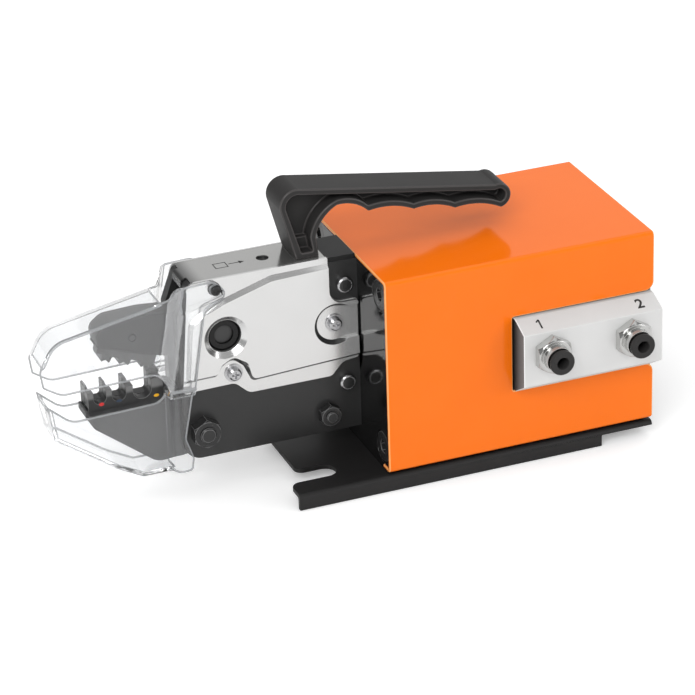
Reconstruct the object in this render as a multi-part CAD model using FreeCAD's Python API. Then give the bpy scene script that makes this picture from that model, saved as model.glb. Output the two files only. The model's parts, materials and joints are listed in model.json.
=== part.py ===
"""Pneumatic crimping machine, built piece by piece.

Millimetres. The machine frame has X running from the jaws (-X) to the back of the
cover (+X), Y across the machine with -Y on the side of the air inlets, and Z up from
the surface that it stands on. X is zero at the front edge of the cover and Y is zero
in the centre plane. Each piece is written about the middle of the whole outline.
"""
import FreeCAD, Part
import os
from math import atan2, cos, pi, radians, sin, sqrt, tan

from FreeCAD import Placement, Rotation, Vector

# Base plate: a folded channel with two open slots at the front
BASE_SHEET = 2.5
BASE_TOP = 8.3
BASE_REAR = 112.0
BASE_FINGER_FRONT = -46.0
BASE_MIDDLE_FRONT = -38.5
BASE_BEND = 2.2
SLOT_WIDTH = 11.5
SLOT_OFFSET = 29.8
SLOT_END = -20.5
FINGER_ROUND = 4.5

BASE_SCREW_DIAMETER = 6.0
BASE_SCREW_HEAD = 10.5
BASE_SCREW_HEAD_HEIGHT = 3.3
BASE_SCREW_DEPTH = 11.0
BASE_SCREW_OFFSET = 26.0
REAR_BASE_SCREW_X = 98.0

# Cover: a bent sheet over the air cylinder
COVER_LENGTH = 139.2
COVER_WIDTH = 97.5
COVER_HEIGHT = 100.0
COVER_SHEET = 1.5
COVER_BEND = 2.4
COVER_GAP_UNDER = 1.3
COVER_LIP = 7.0
FIT_GAP = 0.3
COVER_SCREW_DIAMETER = 3.0
COVER_SCREW_HEAD = 5.6
COVER_SCREWS_X = (76.0, 106.0)
PLATE_SIDE_AIR = 0.45

# Air cylinder
AXIS_ABOVE_MIDDLE = 0.4
FRONT_PLATE_X = 0.5
FRONT_PLATE_THICK = 12.0
CYLINDER_FRONT = 64.5
CYLINDER_WALL = 9.0
BORE_WALL = 6.8
REAR_CAP_THICK = 10.2
PISTON_LENGTH = 20.0
PISTON_SEAL_PLACE = 8.5
STROKE = 34.0
END_PLAY = 0.5
ROD_DIAMETER = 16.0
RUNNING_GAP = 0.05
PISTON_GAP = 0.1
TIE_ROD_DIAMETER = 8.0
TIE_ROD_FROM_SIDE = 7.4
TIE_ROD_FROM_COVER = 10.0
TIE_HEAD_DIAMETER = 15.0
TIE_HEAD_HEIGHT = 8.0
HEX_KEY = 6.0
SLEEVE_DIAMETER = 14.0
WINDOW_RADIUS = 16.0

# Air inlet block and push-in fittings
BLOCK_SHORT_OF_COVER = 0.9
BLOCK_LENGTH = 73.1
BLOCK_BACK_HEIGHT = 38.1
BLOCK_FACE_HEIGHT = 27.2
BLOCK_FACE_RISE = 0.95
BLOCK_STEP = 1.6
BLOCK_PROUD = 12.0
BLOCK_CENTRE_Z = 59.75
PORT_FROM_FRONT = 14.4
PORT_FROM_REAR = 16.6
PORT_Z = 63.0
PORT_BORE = 5.0
TUBE_DIAMETER = 6.0
TUBE_STOP = 0.15
FITTING_THREAD = 13.0
FITTING_HEX = 17.0
FITTING_HEX_THICK = 5.2
FITTING_THREAD_IN_BODY = 3.0
FITTING_BARREL = 13.2
FITTING_BARREL_LENGTH = 4.4
COLLAR_DIAMETER = 13.0
COLLAR_HEAD = 2.4
COLLAR_TRAVEL = 1.2

# Head: two side plates with the jaws between them
JAW_THICK = 12.0
JAW_SIDE_GAP = 0.2
SIDE_PLATE_THICK = 5.8
HEAD_BOTTOM = 18.9
HEAD_TOP = 110.4
HEAD_FRONT = -90.0
HEAD_SLOPE_HEIGHT = 16.0
NECK_LENGTH = 15.2
NECK_CAP = 2.3
TOP_BAR_HEIGHT = 10.8
TOP_BAR_FRONT = -84.0
UPPER_PIVOT = (-67.4, 81.1)
LOWER_PIVOT = (-79.9, 33.8)
PIVOT_PIN_DIAMETER = 16.0
LOWER_BOLT_DIAMETER = 8.0
REAR_BOLT = (-16.5, 29.0)
REAR_BOLT_DIAMETER = 6.0
RIVET_X = -6.5
LOWER_RIVET_Z = 44.3
RIVET_SHANK = 5.0
RIVET_HEAD = 8.2
RIVET_DISH = 4.6
RIVET_PROUD = 3.0
BUSH_WALL = 1.5
HEAD_SCREW_DIAMETER = 6.0
HEAD_SCREW_HEAD = 9.6
HEAD_SCREW_BELOW_TOP = 5.5
RIVET_BELOW_SCREW = 6.4
NOTCH_BELOW_RIVET = 7.9
LOWER_HEAD_SCREW_Z = 35.5

# Jaws, rollers and the wedge that spreads their tails
SWING = 9.8
ROLLER_X = -28.0
ROLLER_DIAMETER = 14.0
ROLLER_WIDTH = 6.4
ROLLER_PIN = 6.0
CAM_GAP = 0.15
NOSE_ABOVE_AXIS = 5.0
NOSE_BELOW_AXIS = 2.0
NOSE_RUN = 4.5
WEDGE_WIDTH = 6.4
WEDGE_TAIL_X = 33.0
TONGUE_LENGTH = 14.0
TONGUE_HEIGHT = 11.0
UPPER_HUB = 14.4
LOWER_HUB = 14.6
TAIL_HALF = 8.5
FORK_GAP = 0.2
FORK_LENGTH = 17.0
SPRING_WIRE = 1.2
SPRING_DIAMETER = 7.0
SPRING_X = -50.0

# Dies, drawn closed in the lower jaw's own place: nests as (x, radius), teeth as (x, width)
NESTS = ((-128.2, 3.1), (-118.8, 3.4), (-107.3, 4.5))
TEETH = ((-128.0, 4.4), (-118.6, 5.0), (-107.4, 5.4))
DIE_FRONT = -134.2
DIE_REAR = -96.8
DIE_SEAT = 49.2
NEST_CENTRE_Z = 58.0
NEAR_WALL_TOP = 61.4
POST_TOP = 63.3
REAR_WALL_RISE = 1.8
POST_SLANT = 18.0
DIE_SPLIT_GAP = 0.6
DIE_CLOSED_GAP = 0.4
TOOTH_TIP = 58.9
TOOTH_ROUND = 0.7
NOTCH_ROUND = 0.6
TOE_FRONT = -133.5
TOE_LIFT = 0.8
UPPER_SEAT = 65.4
UPPER_DIE_REAR = -103.6
DIE_SCREW_DIAMETER = 3.0

# Side covers, top strip and handle
SKIN = 1.25
SKIN_AIR = 0.05
PANEL_RAISE = 2.0
PANEL_BEVEL = 1.8
PANEL_EDGE = 0.25
NOTCH_BEND = 6.5
PIN_WELL = 22.0
PIN_WELL_FLOOR = 16.8
FRONT_SCREW = (-64.0, 61.2)
REAR_SCREW = (-12.4, 77.0)
SCREW_HEAD = 6.4
WASHER = 9.0
STRIP_THICK = 1.0
STRIP_REAR = -15.4
HANDLE_WIDTH = 20.0
HANDLE_WEB = 3.0
HANDLE_RIM = 3.0
HANDLE_SLOPE = 9.1
HANDLE_SCREW_DIAMETER = 4.0
HANDLE_SCREWS_X = (-26.4, -20.0)
HANDLE_FOOT_WIDTH = 7.6

# Clear guard
GUARD_WALL = 1.6
GUARD_FRONT_HALF = 9.8
GUARD_CHEEK_HALF = 17.3
GUARD_EAR_HALF = 15.6
GUARD_LOW_HALF = 15.2
GUARD_LEDGE = 55.5
GUARD_RIB = 3.6
GUARD_RIB_PROUD = 0.5
SHOULDER_LOW = 96.8
SHOULDER_HIGH = 101.8
GUARD_PIVOT = (-71.6, 106.6)
GUARD_SCREW_DIAMETER = 4.0
GUARD_SCREW_HEAD = 5.6
GUARD_SCREW_PROUD = 1.2
GUARD_LEAN = 0.18

# Places worked out from the driving dimensions
COVER_BOTTOM = BASE_TOP + COVER_GAP_UNDER
COVER_TOP = COVER_BOTTOM + COVER_HEIGHT
COVER_HALF = COVER_WIDTH / 2
AXIS_Z = COVER_BOTTOM + COVER_HEIGHT / 2 + AXIS_ABOVE_MIDDLE
PLATE_HALF = COVER_HALF - COVER_SHEET - PLATE_SIDE_AIR
PLATE_TOP = COVER_TOP - COVER_SHEET - FIT_GAP
NECK_STEP_Z = min(PLATE_TOP, HEAD_TOP - NECK_CAP - FIT_GAP)
UPPER_HEAD_SCREW_Z = NECK_STEP_Z - HEAD_SCREW_BELOW_TOP
UPPER_RIVET_Z = UPPER_HEAD_SCREW_Z - RIVET_BELOW_SCREW
NOTCH_Z = UPPER_RIVET_Z - NOTCH_BELOW_RIVET
TIE_ROD_HALF_SPACING_Y = PLATE_HALF - TIE_ROD_FROM_SIDE
TIE_ROD_HALF_SPACING_Z = COVER_HEIGHT / 2 - TIE_ROD_FROM_COVER
REAR_CAP_X = COVER_LENGTH - 0.4 - REAR_CAP_THICK
FRONT_PLATE_REAR = FRONT_PLATE_X + FRONT_PLATE_THICK
PISTON_REAR = REAR_CAP_X - END_PLAY
PISTON_FRONT = PISTON_REAR - PISTON_LENGTH
ROD_RADIUS = ROD_DIAMETER / 2
BORE_RADIUS = min(PLATE_HALF, (PLATE_TOP - BASE_TOP) / 2) - BORE_WALL
GAP_HALF = JAW_THICK / 2 + JAW_SIDE_GAP
HEAD_HALF = GAP_HALF + SIDE_PLATE_THICK
JAW_HALF = JAW_THICK / 2
SKIN_FACE = HEAD_HALF + SKIN_AIR + SKIN
PANEL_FACE = SKIN_FACE + PANEL_RAISE
NECK_FRONT = FRONT_PLATE_X - NECK_LENGTH
ROLLER_RADIUS = ROLLER_DIAMETER / 2
BLOCK_REAR = COVER_LENGTH - BLOCK_SHORT_OF_COVER
BLOCK_FRONT = BLOCK_REAR - BLOCK_LENGTH
BLOCK_FACE_Y = -(COVER_HALF + BLOCK_PROUD)
BLOCK_LOW = BLOCK_CENTRE_Z - BLOCK_BACK_HEIGHT / 2
BLOCK_HIGH = BLOCK_CENTRE_Z + BLOCK_BACK_HEIGHT / 2
HANDLE_FOOT_Z = HEAD_TOP + STRIP_THICK
HANDLE_REAR = 81.5
PORTS = (BLOCK_FRONT + PORT_FROM_FRONT, BLOCK_REAR - PORT_FROM_REAR)
Y = Vector(0, 1, 0)


def block(x0, x1, y0, y1, z0, z1):
    """Return a box between two corners."""
    return Part.makeBox(x1 - x0, y1 - y0, z1 - z0, Vector(x0, y0, z0))


def rod(radius, start, along):
    """Return a cylinder of a radius from a start point along a vector."""
    return Part.makeCylinder(radius, along.Length, start, along)


def cross_rod(radius, place, y0, y1):
    """Return a cylinder across the machine at a place (x, z)."""
    return rod(radius, Vector(place[0], y0, place[1]), Vector(0, y1 - y0, 0))


def long_rod(radius, x0, x1, y=0.0, z=AXIS_Z):
    """Return a cylinder along the machine."""
    return rod(radius, Vector(x0, y, z), Vector(x1 - x0, 0, 0))


def tall_rod(radius, x, y, z0, z1):
    """Return an upright cylinder."""
    return rod(radius, Vector(x, y, z0), Vector(0, 0, z1 - z0))


def ring(outer, inner, x0, x1):
    """Return a tube round the cylinder's axis."""
    return long_rod(outer, x0, x1).cut(long_rod(inner, x0 - 1, x1 + 1))


def cross_ring(outer, inner, place, y0, y1):
    """Return a tube across the machine at a place (x, z)."""
    return cross_rod(outer, place, y0, y1).cut(cross_rod(inner, place, y0 - 1, y1 + 1))


def wire(corners, to_point):
    """Return a closed outline whose corners (a, b, radius) are rounded."""
    flat = [Vector(c[0], c[1], 0) for c in corners]
    radii = [c[2] if len(c) > 2 else 0.0 for c in corners]
    stops = []
    for i, here in enumerate(flat):
        before = (flat[i - 1] - here).normalize()
        after = (flat[(i + 1) % len(flat)] - here).normalize()
        half = before.getAngle(after) / 2
        if radii[i] <= 0 or half > pi / 2 - 1e-4:
            stops.append((here, None, here))
            continue
        room = min((flat[i - 1] - here).Length, (flat[(i + 1) % len(flat)] - here).Length)
        reach = min(radii[i] / tan(half), room * 0.499)
        radius = reach * tan(half)
        inward = (before + after).normalize()
        middle = here + inward * (radius / sin(half) - radius)
        stops.append((here + before * reach, middle, here + after * reach))
    edges = []
    for i, (start, middle, end) in enumerate(stops):
        if middle is not None:
            edges.append(Part.Arc(to_point(start), to_point(middle), to_point(end)).toShape())
        following = stops[(i + 1) % len(stops)][0]
        if (following - end).Length > 1e-6:
            edges.append(Part.LineSegment(to_point(end), to_point(following)).toShape())
    return Part.Wire(edges)


def side_face(corners, y):
    """Return a face in a side view, from corners (x, z, radius)."""
    return Part.Face(wire(corners, lambda q: Vector(q.x, y, q.y)))


def slab(corners, y0, y1):
    """Return a plate whose outline is drawn in the side view."""
    return side_face(corners, y0).extrude(Vector(0, y1 - y0, 0))


def plan(corners, z0, z1):
    """Return a plate whose outline (x, y, radius) is drawn from above."""
    face = Part.Face(wire(corners, lambda q: Vector(q.x, q.y, z0)))
    return face.extrude(Vector(0, 0, z1 - z0))


def section(corners, x0, x1):
    """Return a bar along the machine whose section is drawn as (y, z, radius)."""
    face = Part.Face(wire(corners, lambda q: Vector(x0, q.x, q.y)))
    return face.extrude(Vector(x1 - x0, 0, 0))


def hexagon(across, place, y0, y1):
    """Return a hexagonal bar across the machine."""
    radius = across / sqrt(3)
    points = [
        Vector(place[0] + radius * cos(radians(60 * k + 30)), y0,
               place[1] + radius * sin(radians(60 * k + 30)))
        for k in range(7)
    ]
    return Part.Face(Part.makePolygon(points)).extrude(Vector(0, y1 - y0, 0))


def hex_hole(across, x0, x1, y, z):
    """Return a hexagonal cut along the machine."""
    radius = across / sqrt(3)
    points = [
        Vector(x0, y + radius * cos(radians(60 * k)), z + radius * sin(radians(60 * k)))
        for k in range(7)
    ]
    return Part.Face(Part.makePolygon(points)).extrude(Vector(x1 - x0, 0, 0))


def turned(shape, place, degrees):
    """Return a copy turned about a cross axis; positive lifts the rear."""
    copy = shape.copy()
    copy.rotate(Vector(place[0], 0, place[1]), Vector(0, -1, 0), degrees)
    return copy


def turn_point(point, place, degrees):
    """Return a point (x, z) turned about a place; positive lifts the rear."""
    a = radians(degrees)
    dx, dz = point[0] - place[0], point[1] - place[1]
    return (place[0] + dx * cos(a) - dz * sin(a), place[1] + dx * sin(a) + dz * cos(a))


def to_upper(point):
    """Return where a point of the closed dies lies on the open upper jaw."""
    lifted = turn_point(point, LOWER_PIVOT, -SWING)
    return turn_point(lifted, UPPER_PIVOT, -SWING)


def shape_to_upper(shape):
    """Move a shape from the lower jaw's place, dies closed, to the open upper jaw."""
    return turned(turned(shape, LOWER_PIVOT, -SWING), UPPER_PIVOT, -SWING)


def mirror_y(shape):
    """Return the mirror image across the centre plane."""
    return shape.mirror(Vector(0, 0, 0), Y)


def group(shapes):
    """Return separate solids as one compound."""
    return Part.makeCompound([s for shape in shapes for s in shape.Solids])


def cut_all(shape, tools):
    """Return a shape with every tool cut from it."""
    for tool in tools:
        shape = shape.cut(tool)
    return shape


def corners4(y, z, centre_z):
    """Return the four (y, z) places of a rectangle about the cylinder's axis."""
    return [(a * y, centre_z + b * z) for a in (-1, 1) for b in (-1, 1)]


TIE_RODS = corners4(TIE_ROD_HALF_SPACING_Y, TIE_ROD_HALF_SPACING_Z, AXIS_Z)
UPPER_ROLLER = (ROLLER_X, AXIS_Z + NOSE_ABOVE_AXIS + ROLLER_RADIUS + 0.2)
LOWER_ROLLER = (ROLLER_X, AXIS_Z - NOSE_BELOW_AXIS - ROLLER_RADIUS - 0.3)
COVER_SCREW_Y = COVER_HALF - BASE_SHEET - COVER_SCREW_HEAD / 2 - 0.7
BASE_SCREWS = [(x, y) for x in (FRONT_PLATE_X + FRONT_PLATE_THICK / 2, REAR_BASE_SCREW_X)
               for y in (-BASE_SCREW_OFFSET, BASE_SCREW_OFFSET)]
COVER_SCREWS = [(x, y) for x in COVER_SCREWS_X for y in (-COVER_SCREW_Y, COVER_SCREW_Y)]


def base_plate():
    """Folded channel with two open slots; behind its flanges the sheet runs on, flat."""
    half = COVER_HALF
    inner = half - BASE_SHEET
    channel = section(
        [(-half, 0, 0), (-half, BASE_TOP, BASE_BEND), (half, BASE_TOP, BASE_BEND), (half, 0, 0),
         (inner, 0, 0), (inner, BASE_TOP - BASE_SHEET, 0.6), (-inner, BASE_TOP - BASE_SHEET, 0.6),
         (-inner, 0, 0)],
        BASE_FINGER_FRONT, COVER_LENGTH)
    behind = block(BASE_REAR, COVER_LENGTH + 1, -half - 1, half + 1, -1, BASE_TOP - BASE_SHEET)
    channel = channel.cut(behind)
    slot_in = SLOT_OFFSET - SLOT_WIDTH / 2
    slot_out = SLOT_OFFSET + SLOT_WIDTH / 2
    r = SLOT_WIDTH / 2
    trim = []
    for side in (-1, 1):
        trim.append([
            (COVER_LENGTH, side * (half + 1)), (BASE_FINGER_FRONT, side * (half + 1)),
            (BASE_FINGER_FRONT, side * slot_out, FINGER_ROUND),
            (SLOT_END, side * slot_out, r * 0.98), (SLOT_END, side * slot_in, r * 0.98),
            (BASE_MIDDLE_FRONT, side * slot_in, FINGER_ROUND)])
    outline = trim[0] + trim[1][::-1]
    keep = plan(outline, -1, BASE_TOP + 1)
    plate = channel.common(keep)
    holes = [tall_rod(BASE_SCREW_DIAMETER / 2 + 0.3, x, y, -1, BASE_TOP + 1) for x, y in BASE_SCREWS]
    holes += [tall_rod(COVER_SCREW_DIAMETER / 2 + 0.25, x, y, -1, BASE_TOP + 1)
              for x, y in COVER_SCREWS]
    return cut_all(plate, holes)


def screw_up(x, y, diameter, head, height, top):
    """Screw driven upwards through the base plate, with a socket in its head."""
    seat = BASE_TOP - BASE_SHEET
    body = tall_rod(diameter / 2, x, y, seat, top)
    cap = tall_rod(head / 2, x, y, seat - height, seat)
    socket = tall_rod(diameter * 0.3, x, y, seat - height - 1, seat - height * 0.4)
    return body.fuse(cap).cut(socket)


def base_screws():
    """Four screws that hold the base plate to the front plate and the cylinder."""
    return group([screw_up(x, y, BASE_SCREW_DIAMETER, BASE_SCREW_HEAD, BASE_SCREW_HEAD_HEIGHT,
                           BASE_TOP + BASE_SCREW_DEPTH - 1) for x, y in BASE_SCREWS])


def cover_screws():
    """Four small screws that hold the cover's lips to the cylinder."""
    return group([screw_up(x, y, COVER_SCREW_DIAMETER, COVER_SCREW_HEAD, 2.4,
                           COVER_BOTTOM + COVER_SHEET + 5) for x, y in COVER_SCREWS])


def lip_relief(x0, x1):
    """Room at the lower corners of a plate for the cover's folded lips."""
    y0 = COVER_HALF - COVER_SHEET - COVER_LIP - FIT_GAP
    top = COVER_BOTTOM + COVER_SHEET + FIT_GAP
    right = block(x0 - 1, x1 + 1, y0, COVER_HALF, 0, top)
    return right.fuse(mirror_y(right))


def square_plate(x0, x1):
    """Square body of the cylinder stack, standing on the base plate."""
    body = section([(-PLATE_HALF, BASE_TOP, 0), (-PLATE_HALF, PLATE_TOP, 2.5),
                    (PLATE_HALF, PLATE_TOP, 2.5), (PLATE_HALF, BASE_TOP, 0)], x0, x1)
    return body.cut(lip_relief(x0, x1))


def front_plate():
    """Front plate that carries the head, with four counterbored tie-rod holes."""
    x0, x1 = FRONT_PLATE_X, FRONT_PLATE_REAR
    tools = [long_rod(WINDOW_RADIUS, x0 - 1, x1 + 1)]
    for y, z in TIE_RODS:
        tools.append(long_rod(TIE_ROD_DIAMETER / 2 + 0.3, x0 - 1, x1 + 1, y, z))
        tools.append(long_rod(TIE_HEAD_DIAMETER / 2 + 0.3, x0 - 1, x0 + TIE_HEAD_HEIGHT, y, z))
    for z in (UPPER_HEAD_SCREW_Z, LOWER_HEAD_SCREW_Z):
        tools.append(long_rod(HEAD_SCREW_DIAMETER / 2 + 0.3, x0 - 1, x1 + 1, 0, z))
    for x, y in BASE_SCREWS[:2]:
        tools.append(tall_rod(BASE_SCREW_DIAMETER / 2, x, y, 0, BASE_TOP + BASE_SCREW_DEPTH))
    return cut_all(square_plate(x0, x1), tools)


def tie_rods():
    """Four long socket screws that clamp the stack."""
    parts = []
    for y, z in TIE_RODS:
        head = long_rod(TIE_HEAD_DIAMETER / 2, FRONT_PLATE_X + 0.2,
                        FRONT_PLATE_X + TIE_HEAD_HEIGHT, y, z)
        shank = long_rod(TIE_ROD_DIAMETER / 2, FRONT_PLATE_X + TIE_HEAD_HEIGHT,
                         REAR_CAP_X + REAR_CAP_THICK - 1, y, z)
        socket = hex_hole(HEX_KEY, FRONT_PLATE_X, FRONT_PLATE_X + TIE_HEAD_HEIGHT * 0.6, y, z)
        parts.append(head.fuse(shank).cut(socket))
    return group(parts)


def spacer_sleeves():
    """Four sleeves that keep the cylinder behind the front plate."""
    parts = []
    for y, z in TIE_RODS:
        tube = long_rod(SLEEVE_DIAMETER / 2, FRONT_PLATE_REAR, CYLINDER_FRONT, y, z)
        hole = long_rod(TIE_ROD_DIAMETER / 2 + 0.3, FRONT_PLATE_REAR - 1, CYLINDER_FRONT + 1, y, z)
        parts.append(tube.cut(hole))
    return group(parts)


def cylinder_body():
    """Compact cylinder: front wall, bore, two side ports and tie-rod holes."""
    x0, x1 = CYLINDER_FRONT, REAR_CAP_X
    tools = [long_rod(BORE_RADIUS, x0 + CYLINDER_WALL, x1 + 1),
             long_rod(ROD_RADIUS + 2.5, x0 - 1, x0 + CYLINDER_WALL + 1),
             ring(BORE_RADIUS + 3.4, BORE_RADIUS + 1.2, x1 - 2.0, x1 + 1)]
    for y, z in TIE_RODS:
        tools.append(long_rod(TIE_ROD_DIAMETER / 2 + 0.3, x0 - 1, x1 + 1, y, z))
    for x in PORTS:
        tools.append(cross_rod(PORT_BORE / 2, (x, PORT_Z), -PLATE_HALF - 1, -BORE_RADIUS * 0.9))
        tools.append(cross_rod(FITTING_THREAD / 2 + 0.05, (x, PORT_Z), -PLATE_HALF - 1,
                               -PLATE_HALF + FITTING_THREAD_IN_BODY + 0.2))
    for x, y in BASE_SCREWS[2:]:
        tools.append(tall_rod(BASE_SCREW_DIAMETER / 2, x, y, 0, BASE_TOP + BASE_SCREW_DEPTH))
    for x, y in COVER_SCREWS:
        tools.append(tall_rod(COVER_SCREW_DIAMETER / 2, x, y, 0, COVER_BOTTOM + COVER_SHEET + 6))
    return cut_all(square_plate(x0, x1), tools)


def cylinder_seal():
    """Ring that seals the rear cap against the body."""
    groove = (BORE_RADIUS + 1.2 + BORE_RADIUS + 3.4) / 2
    return ring(groove + 0.95, groove - 0.95, REAR_CAP_X - 1.95, REAR_CAP_X - 0.05)


def rear_cap():
    """Rear cap with threaded tie-rod holes."""
    x0, x1 = REAR_CAP_X, REAR_CAP_X + REAR_CAP_THICK
    tools = [long_rod(TIE_ROD_DIAMETER / 2 + 0.05, x0 - 1, x1 + 1, y, z) for y, z in TIE_RODS]
    cap = cut_all(square_plate(x0, x1), tools)
    edges = [e for e in cap.Edges if abs(e.CenterOfMass.x - x1) < 1e-3 and e.Length > 40]
    return cap.makeChamfer(1.0, edges)


def rod_bush():
    """Bronze bush that guides the piston rod through the front wall."""
    x0 = CYLINDER_FRONT
    sleeve = ring(ROD_RADIUS + 2.5, ROD_RADIUS + RUNNING_GAP, x0 + 3.5, x0 + CYLINDER_WALL)
    return sleeve


def rod_seal():
    """Lip seal in front of the rod bush."""
    x0 = CYLINDER_FRONT
    return ring(ROD_RADIUS + 2.4, ROD_RADIUS + RUNNING_GAP, x0 + 0.3, x0 + 3.2)


def piston():
    """Piston: two relieved lands, a guide band, a seal groove and a recess for the nut."""
    land = BORE_RADIUS - 2.0
    band = BORE_RADIUS - PISTON_GAP
    middle = PISTON_FRONT + PISTON_SEAL_PLACE
    body = long_rod(land, PISTON_FRONT, PISTON_REAR).fuse(long_rod(band, middle - 4.2, middle + 4.2))
    groove = ring(BORE_RADIUS + 1, BORE_RADIUS - 4.0, middle - 1.6, middle + 1.6)
    hole = long_rod(ROD_RADIUS - 2, PISTON_FRONT - 1, PISTON_REAR + 1)
    recess = long_rod(12.5, PISTON_REAR - 7.5, PISTON_REAR + 1)
    return cut_all(body, [groove, hole, recess])


def piston_seal():
    """Rubber ring of the piston."""
    middle = PISTON_FRONT + PISTON_SEAL_PLACE
    return ring(BORE_RADIUS - RUNNING_GAP, BORE_RADIUS - 3.9, middle - 1.4, middle + 1.4)


def piston_nut():
    """Nut that holds the piston on its rod."""
    x0, x1 = PISTON_REAR - 7.5, PISTON_REAR - 1.0
    nut = hex_hole(18.0, x0, x1, 0, AXIS_Z)
    return nut.cut(long_rod(ROD_RADIUS - 2, x0 - 1, x1 + 1))


def piston_rod():
    """Piston rod with a forked front end for the wedge's tongue."""
    front = WEDGE_TAIL_X + 2.0
    shaft = long_rod(ROD_RADIUS, front, PISTON_FRONT)
    spigot = long_rod(ROD_RADIUS - 2, PISTON_FRONT, PISTON_REAR - 1.5)
    slot = block(front - 1, WEDGE_TAIL_X + TONGUE_LENGTH + 0.5, -WEDGE_WIDTH / 2 - 0.1,
                 WEDGE_WIDTH / 2 + 0.1, AXIS_Z - 20, AXIS_Z + 20)
    shaft = shaft.makeChamfer(1.0, [e for e in shaft.Edges if abs(e.CenterOfMass.x - front) < 1e-3])
    return shaft.fuse(spigot).cut(slot).cut(cross_rod(2.0, (WEDGE_TAIL_X + 8, AXIS_Z), -20, 20))


def ram_pin():
    """Cross pin between the rod and the wedge."""
    return cross_rod(2.0, (WEDGE_TAIL_X + 8, AXIS_Z), -ROD_RADIUS + 0.6, ROD_RADIUS - 0.6)


def cam_points(pivot, roller, side, count=9):
    """Points of the wedge's flank that keep a roller turning in step with the stroke.

    The roller's centre is followed in the wedge's own place, and each point lies one
    roller radius and a small gap from it, square to that path. side is 1 for the
    upper flank and -1 for the lower flank.
    """
    def centre(travel):
        x, z = turn_point(roller, pivot, side * SWING * travel / STROKE)
        return Vector(x + travel, 0, z)

    points = []
    for k in range(count):
        travel = -NOSE_RUN + (STROKE + NOSE_RUN) * k / (count - 1)
        along = (centre(travel + 0.01) - centre(travel - 0.01)).normalize()
        outward = Vector(-along.z, 0, along.x) * side
        points.append(centre(travel) - outward * (ROLLER_RADIUS + CAM_GAP))
    return points


def wedge_ram():
    """Steel wedge whose two flanks spread the tails of the jaws."""
    upper = cam_points(UPPER_PIVOT, UPPER_ROLLER, 1)
    lower = cam_points(LOWER_PIVOT, LOWER_ROLLER, -1)
    y = -WEDGE_WIDTH / 2

    def at(point):
        return Vector(point.x, y, point.z)

    top, low = Part.BSplineCurve(), Part.BSplineCurve()
    top.interpolate([at(q) for q in upper])
    low.interpolate([at(q) for q in lower])
    nose_x = min(upper[0].x, lower[0].x) - 2.5
    middle = (upper[0].z + lower[0].z) / 2
    nose = [Vector(nose_x, y, middle + 1.4), Vector(nose_x, y, middle - 1.4)]
    tail = [(WEDGE_TAIL_X, upper[-1].z), (WEDGE_TAIL_X, AXIS_Z + TONGUE_HEIGHT / 2),
            (WEDGE_TAIL_X + TONGUE_LENGTH, AXIS_Z + TONGUE_HEIGHT / 2),
            (WEDGE_TAIL_X + TONGUE_LENGTH, AXIS_Z - TONGUE_HEIGHT / 2),
            (WEDGE_TAIL_X, AXIS_Z - TONGUE_HEIGHT / 2), (WEDGE_TAIL_X, lower[-1].z)]
    chain = [at(upper[-1])] + [Vector(a, y, b) for a, b in tail] + [at(lower[-1])]
    edges = [top.toShape()]
    edges += [Part.LineSegment(a, b).toShape() for a, b in zip(chain, chain[1:])]
    edges.append(low.toShape())
    front = [at(lower[0]), nose[1], nose[0], at(upper[0])]
    edges += [Part.LineSegment(a, b).toShape() for a, b in zip(front, front[1:])]
    outline = Part.Wire(Part.__sortEdges__(edges))
    wedge = Part.Face(outline).extrude(Vector(0, WEDGE_WIDTH, 0))
    return wedge.cut(cross_rod(2.0, (WEDGE_TAIL_X + 8, AXIS_Z), -20, 20))


def outer_cover():
    """Bent sheet cover with folded lips and a notch round the inlet block."""
    half, t = COVER_HALF, COVER_SHEET
    low, top = COVER_BOTTOM, COVER_TOP
    lip = half - t - COVER_LIP
    r = COVER_BEND
    shell = section(
        [(-lip, low, 0), (-half, low, r), (-half, top, r), (half, top, r), (half, low, r),
         (lip, low, 0), (lip, low + t, 0), (half - t, low + t, r - t), (half - t, top - t, r - t),
         (-half + t, top - t, r - t), (-half + t, low + t, r - t), (-lip, low + t, 0)],
        0, COVER_LENGTH)
    notch = slab([(BLOCK_FRONT - 0.5, BLOCK_LOW - 0.5, 1.0), (COVER_LENGTH, BLOCK_LOW - 0.5, 0),
                  (COVER_LENGTH + 9, BLOCK_LOW - 9.5, 0), (COVER_LENGTH + 9, BLOCK_HIGH + 9.5, 0),
                  (COVER_LENGTH, BLOCK_HIGH + 0.5, 0), (BLOCK_FRONT - 0.5, BLOCK_HIGH + 0.5, 1.0)],
                 -half - 1, -half + t + 0.5)
    shell = shell.cut(notch)
    ends = [e for e in shell.Edges
            if abs(e.CenterOfMass.x - COVER_LENGTH) < 1e-3 and e.Length < t + 0.2
            and e.CenterOfMass.y < -half + t and BLOCK_LOW - 3 < e.CenterOfMass.z < BLOCK_HIGH + 3]
    shell = shell.makeFillet(4.5, ends)
    holes = [tall_rod(COVER_SCREW_DIAMETER / 2 + 0.25, x, y, low - 1, low + t + 1)
             for x, y in COVER_SCREWS]
    return cut_all(shell, holes)


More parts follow.
